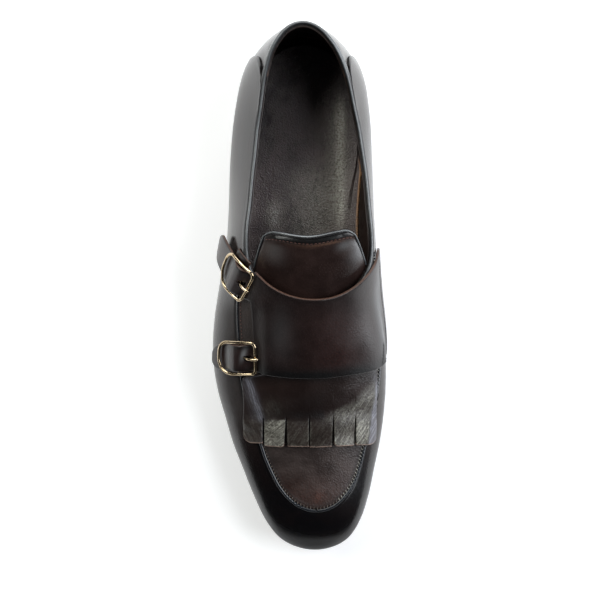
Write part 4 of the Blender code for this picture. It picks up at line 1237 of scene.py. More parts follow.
def makeSock():
    u = np.linspace(0.0, 1.0, 170)[:, None]
    q = crowded(49, 0.04, 0.96)
    q = ((q - q[0]) / (q[-1] - q[0]))[None, :]
    s = stationAt(u)
    x, planS = acrossSole(s, q, sockShape["margin"])
    edge = np.minimum(np.minimum(q, 1 - q) * 70, 40 * np.minimum(u, 1 - u))
    cup = sockShape["cup"] * np.clip(1 - edge / 9.0, 0, 1) ** 2
    top = underZ(planS) + lastShape["soleThick"] + lastShape["gap"] + sockShape["board"]
    ripple = 0.12 * np.sin(x / 5.0 + planS / 17.0) + 0.08 * np.sin(planS / 6.0 - x / 9.0)
    ripple = ripple - 0.12 * bump(x + 11.5, 0, 0.7) * between(planS, 92, 100, 110, 118)
    risen = between(s, *sockShape["climbFrom"], *sockShape["climbTo"])
    reach = sockShape["climb"] * risen * np.linspace(0.12, 1.0, sockShape["wallRows"])[None, :]
    climbing = np.where(risen * sockShape["climb"] > 0.01, risen, 0)[..., None]
    wallS = np.broadcast_to(np.clip(s, 4, 288), reach.shape)
    faces = []
    upper = cup + sockShape["thick"] + ripple * np.clip(edge / 4, 0, 1)
    for height, depth in zip((cup, upper), sockShape["wallDepths"]):
        sheet = placed(x, planS, top + height)
        wall = sockWall(wallS, np.ones(reach.shape), reach, depth)  # up the lining on the inner side
        wall = sheet[:, -1:] + (wall - sheet[:, -1:]) * climbing
        faces.append(np.concatenate([sheet, wall], axis=1))
    below, above = faces
    planX, wallS = above[..., 0], lastShape["originS"] - above[..., 1]
    # painted sheen: a band where the sock curves up on the inner side and patches towards the front
    sheen = (0.8 * bump(planX, 21.5, 2.2) + 0.45 * bump(planX, 20, 6)) * between(wallS, 26, 50, 96, 116)
    sheen = sheen + 0.5 * bump(planX, 6, 14) * between(wallS, 66, 92, 112, 128)
    sheen = np.clip(sheen + 0.55 * bump(planX, -16, 4) * between(wallS, 92, 99, 106, 113), 0, 1)
    # painted shade: darkest at the heel, darker again towards the toe under the vamp, less where the sheen is
    # painted
    dark = np.clip(1.05 - 0.55 * ease(wallS, 14, 46) - 0.55 * ease(wallS, 46, 90) + 0.45 * ease(wallS, 120, 146)
                   + 0.35 * bump(planX, -22, 9) * (1 - ease(wallS, 60, 100)), 0, 1)
    bm = gridBmesh(above, {
        "burnish": dark * (1 - 0.75 * sheen),
        "rubbed": sheen,
        "raw": (1 - ease(edgeDistance(above, "north"), 0.5, 1.0)) * between(wallS, 68, 78, 112, 122),
        "dull": -0.3 * bump(planX, 21.5, 2.4) * between(wallS, 36, 60, 96, 112),
    })
    mergeClose(bm)
    wallTo(bm, below)
    addPiece("sock", bm, sockMaterial, "insole")
    up = np.broadcast_to(np.array([0.0, 0.0, 1.0]), (*x.shape, 3))
    sheetPiece("insoleBoard", placed(x, planS, top - 0.02), up, -sockShape["board"], sockShape["board"] - 0.1,
               uncut, {}, soleMaterial, "insole", 0.5, True)


# The tongue.

tongueShape = {
    "base": 172.0,
    "thick": 2.2,
    "depth": 3.05,
    "edge": {
        "columns": ("share", "s"),
        "rows": (
            (0, 117), (0.025, 115.8), (0.07, 115.3), (0.17, 116), (0.5, 119.2), (0.82, 115.9),
            (0.92, 115), (0.97, 115.3), (1, 116.8),
        ),
    },
    "sides": {  # x of its two edges
        "columns": ("s", "outer", "inner"),
        "rows": (
            (115, -21.3, 27.9), (117, -23.3, 30), (122, -25.3, 32.6), (131, -28, 36.8),
            (145, -31, 39), (172, -26, 32),
        ),
    },
    "hem": 4.6,  # the folded line's distance from the edge
    "stitchIn": 3.9,
    "pitch": 2.2,
    "bindingOver": 0.15,  # how far the rolled edge stands over the tongue's faces
    "bindingHalf": 0.8,
}


def linearRows(table, name, key):
    return np.interp(key, tableColumn(table, table["columns"][0]), tableColumn(table, name))


def makeTongue():
    q = np.linspace(0, 1, 81)[:, None]
    p = spacedLines(50.0, 1.0, True, False)[None, :]
    top = readRows(tongueShape["edge"], "s", q)
    s = top + p * (tongueShape["base"] - top)
    outer, inner = (girthOf(s, linearRows(tongueShape["sides"], name, s)) for name in ("outer", "inner"))
    girth = outer + q * (inner - outer)
    base, normal = skinAt(s, girth)
    fromTop = runAlong(base, 1)
    rim = edgeDistance(base, "west east south")
    hem, depth, thick = (tongueShape[name] for name in ("hem", "depth", "thick"))
    lift = -depth - thick - 0.75 * bump(rim, 1.75, 0.5)
    lift = lift - 0.4 * between(fromTop, hem - 0.25, hem + 0.25, hem + 2, hem + 10)
    lift = lift + 0.10 * np.sin(girth / 4.2 + s / 6.0) * ease(fromTop, 10, 20)
    # painted sheen spots on the tongue's sides
    bright = 0.4 * bump(girth, 19, 4) * bump(fromTop, 9, 2.6)
    bright = bright + 0.65 * bump(girth, 30, 6.5) * between(fromTop, 6, 9, 16, 26)
    bright = bright + 0.2 * bump(girth, -22, 6.5) * between(fromTop, 6, 9, 12, 22)
    band = (1 - ease(fromTop, 3.9, 4.6)) * (1 - ease(np.abs(q - 0.5), 0.36, 0.46))
    # rubbed: lighter sides, painted sheen; burnish: painted shade in the groove beside the rolled edge, and the
    # band along the stitches and a line above the fold darkened
    marks = {
        "rubbed": np.clip(0.55 * ease(np.abs(q - 0.5), 0.2, 0.42) * between(fromTop, 5, 9, 12, 22), 0, 1),
        "raw": 0.9 * bump(fromTop, hem + 0.9, 0.6) * bump(girth, 5, 15),  # the fold line under the hem
        "pale": bright,
        "burnish": np.clip(bump(rim, 1.75, 0.6) + band + 0.5 * bump(fromTop, hem - 0.4, 0.4), 0, 1),
    }
    sheetPiece("tongue", base, normal, lift, thick, rim, marks, tongueMaterial, "tongue", 1.0)
    loop, normals = (np.concatenate([grid[0, 18:0:-1], grid[:, 0], grid[-1, 1:18]]) for grid in (base, normal))
    middle = np.array([3.0, lastShape["originS"] - 150.0, 0.0])

    def shadeEdge(place, way):
        # painted highlight on the roll's outer side, strongest at the top middle; painted shade on its inner
        # side
        outwards = dot(way, unit((place - middle) * (1.0, 1.0, 0.0)))
        pale = bump(outwards, 0.35, 0.3) * ease(way[..., 2], 0.2, 0.7)
        pale = pale * (0.3 + 0.7 * bump(place[..., 0], 2, 9) * (place[..., 1] > middle[1] + 20))
        dark = ease(-outwards, 0, 0.35)
        return {"pale": pale, "burnish": dark, "dull": 0.8 * dark}

    cordPiece("tongueBinding", loop - normals * (depth + thick / 2 - 0.2), normals,
              thick / 2 + tongueShape["bindingOver"], tongueShape["bindingHalf"], 18,
              (bindingMaterial, "binding_leather", "tongue"), False, shadeEdge)
    row = int(np.argmin(np.abs(fromTop[40] - tongueShape["stitchIn"])))
    up = normal[4:-4, row]
    starts, ends, up = stitchRow(base[4:-4, row] - up * (depth - 0.03), up, tongueShape["pitch"], 0.62)
    stitchPiece("tongueStitches", starts, ends, up, rustThread, "tongue")


def stitchRow(line, normals, pitch, share):  # starts, ends and normals; a stitch fills a share of its pitch
    places = evenly(line, pitch)[:-1]
    run = runAlong(line, 0)
    ends = np.interp(pick(run, places) + pitch * share, run, np.arange(len(line)))
    return pick(line, places), pick(line, ends), pick(normals, places)


# The kiltie: a creased sheet over the vamp with six fringes.

kiltieShape = {
    "thick": 1.35,
    "lift": 0.7,
    "back": 180.0,
    "slit": 216.6,
    "front": 233.2,
    "fringes": (-33.7, -21.8, -9.0, 3.8, 16.8, 29.5, 42.3),  # x of the cuts
    "slits": ((0.5, 0.9), (0.4, 1.6), (0.3, 0.5), (0.4, 1.0), (0.3, 0.6)),  # width at the top, at the bottom
    "corners": ((5.4, 0.6), (0.9, 2.2), (0.3, 0.3), (0.3, 0.3), (2.4, 0.8), (0.8, 4.2)),  # radii at the bottom
    "narrow": 0.44,
    "narrowAt": (190.5, 194.0),
    "raise": (0.25, 0.55, 0.15, 0.1, 0.3, 0.5),  # how far each fringe's end stands off
    "twist": (0.15, 0.85, 0.2, -0.1, -0.75, -0.1),
    "shorter": (1.9, 0.2, 0.0, 0.1, 0.3, 0.6),
    "toneShift": (0.13, 1.1, 0.15, 0.11, 0.28, 0.8),  # how much painted sheen each fringe gets
    "sheenAcross": (0.0, 0.25, 0.0, 0.0, 0.14, -0.3),  # and how that grows to its right
    "sheenDown": (0.05, 0.15, 0.05, 0.02, 0.45, 0.2),
    "sheen": (  # s and x where the painted sheen starts
        (191.0, 43.0), (193.0, 40.5), (206.5, 29.0), (213.0, 15.0), (217.0, 11.0),
    ),
    "foldTop": 40.8,
    "foldShift": 4.2,
    "linesAcross": 16,  # on each fringe, besides those close to its edges
}


def kiltieColumns():
    cuts, slits = kiltieShape["fringes"], kiltieShape["slits"]
    xs, fringe, local = [], [], []
    for number, (left, right) in enumerate(zip(cuts, cuts[1:])):
        start = left + (slits[number - 1][0] / 2 if number else 0)
        end = right - (slits[number][0] / 2 if number < len(slits) else 0)
        share = spacedLines(end - start, (end - start) / kiltieShape["linesAcross"])
        xs.append(start + share * (end - start))
        fringe.append(np.full(len(share), number))
        local.append(share * 2 - 1)
    return np.concatenate(xs), np.concatenate(fringe), np.concatenate(local)


def fringeShortening(fringe, local):  # each fringe's rounded bottom corners
    width = np.diff(kiltieShape["fringes"])[fringe]
    radii = np.array(kiltieShape["corners"])[fringe]
    short = 0
    for radius, near in ((radii[..., 0], 1 + local), (radii[..., 1], 1 - local)):
        short = short + radius * (1 - np.sqrt(1 - np.clip(1 - near / 2 * width / radius, 0, 1) ** 2))
    return short


def makeKiltie():
    x, fringe, local = (values[:, None] for values in kiltieColumns())
    back, slit, front = kiltieShape["back"], kiltieShape["slit"], kiltieShape["front"]
    each = {name: np.array(kiltieShape[name])[fringe]
            for name in ("raise", "twist", "shorter", "toneShift", "sheenAcross", "sheenDown")}
    upperRows = back + (slit - back) * np.linspace(0, 1, 34)
    lowerRows = slit + (front - slit) * spacedLines(front - slit, 0.7, False, True)
    p = np.concatenate([upperRows, lowerRows[1:]])[None, :]
    uneven = 0.35 * np.sin(fringe * 2.3 + 1) + 0.25 * local * np.sin(fringe * 1.7)
    s = p - (fringeShortening(fringe, local) + 0.4 + each["shorter"] - uneven * 0.6) * ease(p, slit, front)
    down = ease(p, slit - 2, front)
    slits = np.array(((0.0, 0.0), *kiltieShape["slits"], (0.0, 0.0)))
    opening = (slits[:, 1] - slits[:, 0]) / 2
    wider = opening[fringe] * (1 - local) / 2 - opening[fringe + 1] * (1 + local) / 2
    x = x + wider * np.clip((p - slit) / (front - slit), 0, 1)
    slope = outward(s, girthOf(s, x))[..., 0]
    girth = girthOf(s, x - (kiltieShape["lift"] + kiltieShape["thick"]) * slope * ease(np.abs(x), 10, 30))
    narrow = kiltieShape["narrow"] * (1 - ease(p, *kiltieShape["narrowAt"]))
    base, normal = skinAt(s, np.where(girth < 0, girth * (1 - narrow), girth))
    wave = 0.22 * np.sin(p / 3.1 + fringe * 1.9) * (0.4 + down) * ease(p, 196, 206)
    for side, pitch, swing, start, full in ((-1, 2.6, 7, 2, 18), (1, 2.9, 6, 14, 30)):
        ripple = np.sin((p + side * x * 0.9) / pitch + 1.3 * np.sin(x / swing))
        wave = wave + 0.16 * ripple * ease(side * x, start, full) * ease(p, 192, 200)
    foldX = kiltieShape["foldTop"] - kiltieShape["foldShift"] * ease(p, 198, 234)
    strip = ease(x - foldX, 0, 0.3)
    fold = (0.5 * bump(x - foldX, -0.9, 1) - 0.14 * np.clip(x - foldX, 0, 9)) * ease(p, 194, 204)
    fold = fold - 0.45 * bump(p, slit - 4, 4) + 0.35 * bump(p, slit + 5, 5)
    stands = each["raise"] * down**1.5 + each["twist"] * local * down + 0.28 * (1 - local**2) * down
    lift = kiltieShape["lift"] + np.maximum(stands + wave + fold, -0.45)
    cutRows = p[0] >= slit - 0.01
    edges = [base[0], base[-1], base[:, -1], base[:, 0]]
    for last in np.nonzero(np.diff(fringe[:, 0]))[0]:
        edges += [base[last, cutRows], base[last + 1, cutRows]]
    rim = rimDistance(base, np.concatenate(edges))
    inFringe = ease(p, slit, slit + 2.5)
    # painted sheen on the fringes and on the sheet above them
    toneShift = (each["toneShift"] + each["sheenAcross"] * local + each["sheenDown"] * down) * inFringe
    starts = np.interp(p, *np.array(kiltieShape["sheen"]).T)
    sheen = 0.5 * ease(x - starts, -2, 5) * ease(p, 192, 204) * (1 - inFringe)
    sheen = sheen + 0.22 * bump(x, -17, 6) * bump(p, slit - 5, 5) * (1 - inFringe)
    band = x + 30.1 - (p - 195) * 0.31  # a painted bluish sheen that runs down to the first slit
    pale = (0.62 * bump(band, 0, 1.9) + 0.25 * bump(band, -1.5, 3.5)) * between(p, 186, 197, 216, 221)
    # painted highlights on the first fringe's right edge, along the outer edge and on the folded strip
    pale = pale + 0.35 * (fringe == 0) * bump(local, 1, 0.15) * down
    pale = pale + 0.4 * bump(x, 41, 2) * (1 - ease(p, 192, 200))
    pale = np.clip(pale * (1 - strip) + 0.85 * strip * ease(p, 190, 200), 0, 1)
    # painted shade: the panel's shadow at the top, a dark band before the slits and a line at the fold
    dark = 0.6 * (1 - ease(p, 190, 199)) + 0.5 * bump(x, 4, 20) * bump(p, slit - 8, 12)
    dark = dark + 0.35 * bump(p, slit - 2, 3) * (x < 12)
    dark = dark + 0.9 * bump(x - foldX, -0.15, 0.45) * ease(p, 193, 200)
    angle = np.where((x < -22) | ((x < 4) & (p < slit)), math.radians(68.0), math.radians(-57.0))
    angle = np.where((fringe == 1) & (p >= slit), math.radians(-40.0), angle)  # which way the creases run
    # the fringes' edges get a painted light rim and the cuts painted shade
    marks = {
        "raw": 1 - ease(edgeDistance(base, "north"), 0.3, 0.75),
        "rubbed": np.clip((toneShift + sheen) * (1 - strip) + 0.25 * bump(rim, 0.5, 0.4) * inFringe, 0, 1),
        "burnish": np.clip(dark + 0.8 * (1 - ease(rim, 0.05, 0.35)) * (p > slit), 0, 1),
        "pale": pale,
        "across": (s * np.cos(angle) - x * np.sin(angle) + 0.5 * np.sin(x / 5 + s / 6)) * mm,
        "along": (x * np.cos(angle) + s * np.sin(angle)) * mm,
        "creased": np.clip(1.3 * np.maximum(toneShift + sheen, pale * (1 - strip)), 0, 1),
    }
    fall = roundedDrop(rim, 0.55)
    bm = gridBmesh(base + normal * (lift + kiltieShape["thick"] - fall)[..., None], marks)
    iLayer, jLayer = gridLayers(bm)
    firstCut = int(np.nonzero(cutRows)[0][0])
    gone = []
    for face in bm.faces:
        columns = [vert[iLayer] for vert in face.verts]
        inSlit = fringe[min(columns), 0] != fringe[max(columns), 0]
        if inSlit and min(vert[jLayer] for vert in face.verts) >= firstCut:
            gone.append(face)
    bmesh.ops.delete(bm, geom=gone, context="FACES")
    wallTo(bm, base + normal * (lift + 0.3 * fall)[..., None])
    addPiece("kiltie", bm, kiltieMaterial, "kiltie")


# The strap panel: a bridge over the instep, its outer side cut into two straps.

panelShape = {
    "thick": 1.6,
    "outline": {
        "columns": ("share", "back", "front"),
        "rows": (
            (0, 135.5, 190.9), (0.1, 141.9, 191.9), (0.2, 146.6, 192.7), (0.3, 149.4, 193.1),
            (0.4, 150.1, 193.2), (0.5, 148.5, 192.8), (0.6, 143.8, 192), (0.7, 136.4, 191.1),
            (0.8, 129.2, 190.2), (0.9, 124.3, 188), (1, 122.2, 181.5),
        ),
    },
    "sides": {
        "columns": ("s", "outer", "inner"),
        "rows": (
            (121, -31, 61.5), (135, -31, 62), (150, -34.5, 61.5), (161, -33.4, 58.6),
            (173, -32.5, 54.8), (182, -30.5, 51), (193, -29, 47),
        ),
    },
    "rideBack": (149.0, 180.0),
    "rideOuter": (-29.8, -25.3),
    "rideInner": (44.0, 50.0),
    "ride": 2.2,
    "rearShare": 0.29,
    "frontShare": 0.71,
    "width": 57.0,
    "pitch": 2.0,
    "rows": (  # s and girth along the two rows of stitches
        ((129.0, 47.8), (134.0, 49.4), (140.0, 51.6), (146.0, 53.4), (152.0, 54.2), (158.0, 54.4),
         (164.0, 53.8), (170.0, 53.0), (175.0, 52.4), (179.0, 50.8), (182.0, 48.4), (186.0, 44.2)),
        ((175.4, 44.4), (180.0, 43.3), (186.5, 41.6)),
    ),
}

strapShape = {
    "straps": {
        "rear": {"s": 143.9, "girth": -35.2, "turn": 34.0, "length": 46.0, "endRise": 1.4, "tabBack": 11.0,
                 "range": (0.0, 0.29)},
        "front": {"s": 182.4, "girth": -30.7, "turn": 0.0, "length": 31.0, "endRise": 0.0, "tabBack": 6.8,
                  "range": (0.71, 1.0)},
    },
    "half": 7.4,
    "tip": 9.0,
    "tabThick": 0.9,
    "onTab": (2.0, 8.0),
    "hump": 2.35,
    "humpUp": (1.5, 9.0),
    "humpDown": (11.0, 19.0),
    "endRise": (24.0, 40.0),
    "linesAcross": 10,
    "hole": (4.6, 2.5, 1.3),  # centre along, half length, half width
}


def strapWay(strap):  # unit steps along a strap, in s and girth
    turn = math.radians(strap["turn"])
    return -math.sin(turn), -math.cos(turn)


def strapLine(strap, a, b):
    aheadS, aheadG = strapWay(strap)
    return strap["s"] + a * aheadS - b * aheadG, strap["girth"] + a * aheadG + b * aheadS


def strapPlace(strap, s, girth):  # the other way: how far along and across a strap a place lies
    aheadS, aheadG = strapWay(strap)
    offS, offG = s - strap["s"], girth - strap["girth"]
    return offS * aheadS + offG * aheadG, offG * aheadS - offS * aheadG


def panelLift(s, girth):
    inside = between(girth, *panelShape["rideOuter"], *panelShape["rideInner"])
    return lastShape["gap"] + ease(s, *panelShape["rideBack"]) * inside * panelShape["ride"]


def strapLift(strap, a):
    hump = strapShape["hump"] * between(a, *strapShape["humpUp"], *strapShape["humpDown"])
    tab = (strapShape["tabThick"] + lastShape["gap"]) * ease(a, *strapShape["onTab"])
    return lastShape["gap"] + tab + hump + strap["endRise"] * ease(a, *strapShape["endRise"])


def panelPlace(share, q):
    back, front = (readRows(panelShape["outline"], name, q) for name in ("back", "front"))
    s = back + share * (front - back)
    outer, inner = (readRows(panelShape["sides"], name, s) for name in ("outer", "inner"))
    return s, outer + q * (inner - outer)


def strapGrid(strap, lines):  # from the panel's outer edge, which it leaves square, to the strap's end
    low, high = strap["range"]
    edgeShare = low + lines * (high - low)
    length = strap["length"] - 2.0
    run = spacedLines(length, 1.0, False, True) * length + 2.0
    short = np.clip((run - strap["length"]) / strapShape["tip"] + 1, 0, 1)[None, :]
    b = strapShape["half"] * np.sqrt(1 - 0.94 * short**2) * (lines * 2 - 1)[:, None]
    runPlace = np.stack(np.broadcast_arrays(*strapLine(strap, run[None, :], b)), axis=-1)
    runLift = np.broadcast_to(strapLift(strap, run), b.shape)
    edge, inner = (np.stack(panelPlace(edgeShare, np.full_like(edgeShare, q)), axis=-1) for q in (0.0, 0.01))
    target = runPlace[:, 0]
    gap = np.linalg.norm(target - edge, axis=-1)[:, None, None]
    h = np.linspace(0, 1, 8)[None, 1:, None]
    blend = (3 - 2 * h) * h * h
    join = edge[:, None] * (1 - blend) + target[:, None] * blend
    join = join + h * (1 - h) ** 2 * gap * unit(edge - inner)[:, None] - h**2 * (1 - h) * gap * strapWay(strap)
    edgeLift = panelLift(edge[:, 0], edge[:, 1])[:, None]
    joinLift = edgeLift * (1 - blend[..., 0]) + runLift[:, :1] * blend[..., 0]
    place = np.concatenate([edge[:, None], join, runPlace[:, 1:]], axis=1)
    return place[..., 0], place[..., 1], np.concatenate([edgeLift, joinLift, runLift[:, 1:]], axis=1)


def panelRow(row, s):
    return readRows({"columns": ("s", "girth"), "rows": row}, "girth", s)


def panelMarks(s, girth, share, q, rim):
    nearFront = 1 - ease(np.abs(panelPlace(np.ones_like(q), q)[0] - s), 1, 9)
    raw = 0.8 * (1 - ease(rim, 0.05, 0.4)) * (0.35 + 0.65 * (1 - ease(share, 0.05, 0.2)))
    # burnish: darker near the front edge and just inside the rim, with a painted shadow line at the inner edge
    burnish = 0.85 * nearFront + 0.35 * bump(rim, 1.6, 1.2) + 0.9 * bump(q, 1, 0.006)
    dull = 0.85 * bump(girth, -27.5, 3.4) * ease(s, 150, 164) + 0.8 * (1 - ease(q, 0.004, 0.014))
    for row in panelShape["rows"]:  # painted shade and duller leather along the stitch rows
        sunk = bump(girth - panelRow(row, s), 0, 0.8) * (s > row[0][0] - 1) * (s < row[-1][0] + 1)
        burnish, dull = burnish + sunk, dull + 0.8 * sunk
    # painted highlights near the inner edge and on the outer side
    pale = 0.5 * bump(girth, 46, 5) * ease(s, 128, 150) * (1 - ease(q, 0.955, 0.975)) * (1 - nearFront)
    return {
        "raw": raw * (0.2 + 0.8 * ease(q, 0.004, 0.014)) * (1 - ease(q, 0.9, 0.97)),
        "burnish": np.clip(burnish, 0, 1),
        "rubbed": 0.5 * bump(girth, 16, 16) * ease(s, 150, 165) * (1 - nearFront),
        "pale": pale + 0.13 * bump(girth, -16, 6) * bump(s, 168, 13),
        "dull": np.clip(dull, 0, 1),
    }


def strapMarks(name, s, girth, rim):
    down, out = strapPlace(strapShape["straps"][name], s, girth)
    pale = 0.75 * bump(down, 16.8, 1.8)  # a painted highlight where the strap bends over the buckle's bar
    # the front strap also gets a painted highlight patch near the prong's hole
    if name == "front":
        pale = pale + 0.8 * bump(down - 0.25 * out, 7, 1.2) * bump(out, -2.5, 3.5)
    return {"raw": 0.64 * (1 - ease(rim, 0.05, 0.4)), "burnish": 0.5 * bump(rim, 1.2, 0.9),
            "rubbed": 0.3 * ease(rim, 1.5, 4), "pale": pale, "dull": np.zeros_like(rim)}


def makePanel():
    rear, front = panelShape["rearShare"], panelShape["frontShare"]
    strapWidth = 2 * strapShape["half"]
    lines = spacedLines(strapWidth, strapWidth / strapShape["linesAcross"])
    middle = spacedLines((front - rear) * panelShape["width"], 1.6)
    shares = np.concatenate([lines * rear, rear + middle[1:] * (front - rear), front + lines[1:] * (1 - front)])
    share, q = np.meshgrid(shares, spacedLines(94.0, 1.2), indexing="ij")
    s, girth = panelPlace(share, q)
    places = {"body": (s, girth, panelLift(s, girth))}
    for name, strap in strapShape["straps"].items():
        places[name] = strapGrid(strap, lines)
    bases = {name: onLast(found[0], found[1]) for name, found in places.items()}
    body, count = bases["body"], len(lines) - 1
    outline = [body[0], body[-1], body[:, -1], body[count:-count, 0]]
    for name in strapShape["straps"]:
        outline += [bases[name][0], bases[name][-1], bases[name][:, -1]]
    outline = np.concatenate(outline)
    whole = bmesh.new()
    lowNames = ("lowX", "lowY", "lowZ")  # the lower face's places, kept on the upper one's vertices
    for name, (s, girth, lift) in places.items():
        base, normal = bases[name], outward(s, girth)
        rim = rimDistance(base, outline)
        if name == "body":
            marks = panelMarks(s, girth, share, q, rim)
            waves = 0.10 * bump(s, 166 + girth * 0.15, 5) + 0.06 * bump(s, 178 - girth * 0.1, 4)
            lift = lift + waves * bump(girth, 0, 30) * ease(rim, 0.5, 6)
        else:
            marks = strapMarks(name, s, girth, rim)
        fall = roundedDrop(rim, 0.7)
        below = base + normal * (lift + 0.3 * fall)[..., None]
        marks.update(zip(lowNames, np.moveaxis(below, -1, 0)))
        copyInto(whole, gridBmesh(base + normal * (lift + panelShape["thick"] - fall)[..., None], marks))
    mergeClose(whole, 0.01)
    cutHoles(whole)
    layers = [whole.verts.layers.float.get(label) for label in lowNames]
    giveWall(whole, lambda vert: Vector([vert[layer] * mm for layer in layers]))
    for label in lowNames:
        whole.verts.layers.float.remove(whole.verts.layers.float.get(label))
    addPiece("strapPanel", whole, panelMaterial, "strap_panel", 50)
    makePanelStitches()


def cutHoles(bm):  # the prong's oval hole through each strap
    middle, halfLong, halfWide = strapShape["hole"]
    for strap in strapShape["straps"].values():
        centre, ahead, across = (onStrap(strap, middle + a, b, 3.5) for a, b in ((0, 0.0), (1, 0.0), (0, 1.0)))
        gone = []
        for face in bm.faces:
            away = np.array(face.calc_center_median()) / mm - centre
            along, wide = away @ (ahead - centre), away @ (across - centre)
            if (along / halfLong) ** 2 + (wide / halfWide) ** 2 < 1 and np.linalg.norm(away) < 6:
                gone.append(face)
        bmesh.ops.delete(bm, geom=gone, context="FACES")


def onStrap(strap, a, b, lift):
    s, girth, lift = np.broadcast_arrays(*strapLine(strap, *floats(a, b)), lift)
    return onLast(s, girth) + lift[..., None] * outward(s, girth)


def makePanelStitches():  # stitch rows near the inner edge, which fasten the panel to the shoe
    rows = []
    for row in panelShape["rows"]:
        s = np.linspace(row[0][0], row[-1][0], 120)
        base, normal = skinAt(s, panelRow(row, s))
        line = base + normal * (panelLift(s, panelRow(row, s)) + panelShape["thick"] + 0.02)[:, None]
        rows.append(stitchRow(line, normal, panelShape["pitch"], 0.66))
    starts, ends, normals = (np.concatenate(parts) for parts in zip(*rows))
    stitchPiece("panelStitches", starts, ends, normals, blackThread, "strap_panel", 0.32, 0.2)


# Buckles.

buckleShape = {
    "length": 22.6,
    "half": 8.8,
    "wire": 0.85,
    "flat": 0.92,
    "lift": 3.35,
    "tilt": 1.25,
    "nearRadii": (3.0, 2.3),
    "farRadii": (5.0, 9.0),
    "pinAt": 10.0,
    "pinWire": 0.7,
    "pinLift": 2.9,
    "prongWire": 0.75,
    "prongRise": ((9.4, 2.9), (8.8, 2.95), (7.4, 3.1), (5.8, 3.6), (4.1, 4.6)),  # along, lift
    "prongPast": 2.4,
    "tabFrom": 7.0,
    "tabTo": 21.5,
    "tabFront": 6.8,
}


def frameOutline():  # (a, b) round the frame's middle line
    near, far = buckleShape["nearRadii"], buckleShape["farRadii"]
    length, half = buckleShape["length"], buckleShape["half"]
    corners = ((near[0], 1, -1, 180), (far[0], -1, -1, 270), (far[1], -1, 1, 0), (near[1], 1, 1, 90))
    arcs = []
    for radius, inward, side, start in corners:
        centre = np.array([radius if inward > 0 else length - radius, side * (half - radius)])
        angle = np.radians(start + np.linspace(0, 90, 13))
        arcs.append(centre + radius * np.column_stack([np.cos(angle), np.sin(angle)]))
    gap = np.linspace(0, 1, 8)[1:-1, None]
    path = []
    for arc, after in zip(arcs, arcs[1:] + arcs[:1]):
        path += [arc, arc[-1] * (1 - gap) + after[0] * gap]
    return np.concatenate(path)


def brassCord(name, strap, a, b, lift, halfHigh, halfWide, sides, stands, closed=False):
    normal = outward(*strapLine(strap, *floats(a, b)))
    cordPiece(name, onStrap(strap, a, b, lift), normal, halfHigh, halfWide, sides,
              (brassMaterial, "buckle_brass", stands), closed)


def makeBuckle(name, strap):
    a, b = frameOutline().T
    wire, pin, prong = (buckleShape[part] for part in ("wire", "pinWire", "prongWire"))
    lift = buckleShape["lift"] + buckleShape["tilt"] * a / buckleShape["length"]
    brassCord(name + "BuckleFrame", strap, a, b, lift, wire * buckleShape["flat"], wire, 14,
              name + "_buckle_frame", True)
    reach = buckleShape["half"] - wire * 0.6
    b = np.linspace(-reach, reach, 15)
    a = np.full_like(b, buckleShape["pinAt"])
    brassCord(name + "BucklePin", strap, a, b, buckleShape["pinLift"], pin, pin, 10, name + "_buckle_pin")

    top = buckleShape["lift"] + wire + 0.15 + prong
    knots = np.array([*buckleShape["prongRise"], (2.2, top), (0.0, top), (-1.2, top - 0.05),
                      (-buckleShape["prongPast"], top - 0.25)])
    place = np.arange(len(knots))
    fine = np.linspace(0, len(knots) - 1, 41)
    a, lift = (curveThrough(place, values, np.gradient(values), fine) for values in knots.T)
    share = np.linspace(0, 1, 41)
    point = np.sqrt(np.clip(1 - np.clip((share - 0.9) / 0.1, 0, 1) ** 2, 0.02, 1))
    size = prong * (0.9 + 0.15 * share) * point
    brassCord(name + "BuckleProng", strap, a, np.zeros(41), lift, size * 0.85, size, 12, name + "_buckle_prong")

    long = buckleShape["tabTo"] - buckleShape["tabFrom"]
    wide = strap["tabBack"] + buckleShape["tabFront"]
    a = buckleShape["tabFrom"] + long * spacedLines(long, 1.2)[:, None]
    b = wide * spacedLines(wide, 1.2)[None, :] - strap["tabBack"]
    base, normal = skinAt(*strapLine(strap, *np.broadcast_arrays(a, b)))
    rim = edgeDistance(base, "west east south north")
    marks = {"raw": 0.6 * (1 - ease(rim, 0.1, 0.5)), "burnish": 0.4 * bump(rim, 1.2, 0.8)}
    sheetPiece(name + "BuckleTab", base, normal, lastShape["gap"] * 0.5, strapShape["tabThick"], rim, marks,
               panelMaterial, name + "_buckle_tab", 0.5)


# Sole and heel.

soleShape = {
    "margin": 1.2,
    "heelFront": 74.0,
    "bow": 4.0,
    "height": 22.0,
    "taper": 2.5,
    "frontTaper": 25.0,
    "topLift": 6.0,
    "channelIn": 5.0,
    "lifts": 4,
    "nails": 11,
    "nailRadius": 0.9,
    "stackTop": 16.6,  # where the uppermost lift starts
    "bevels": (0.22, 0.35),  # of the lifts and of the rubber top lift
}


def solePoints(u, q, inward):
    return acrossSole(stationAt(u), q, inward - soleShape["margin"])


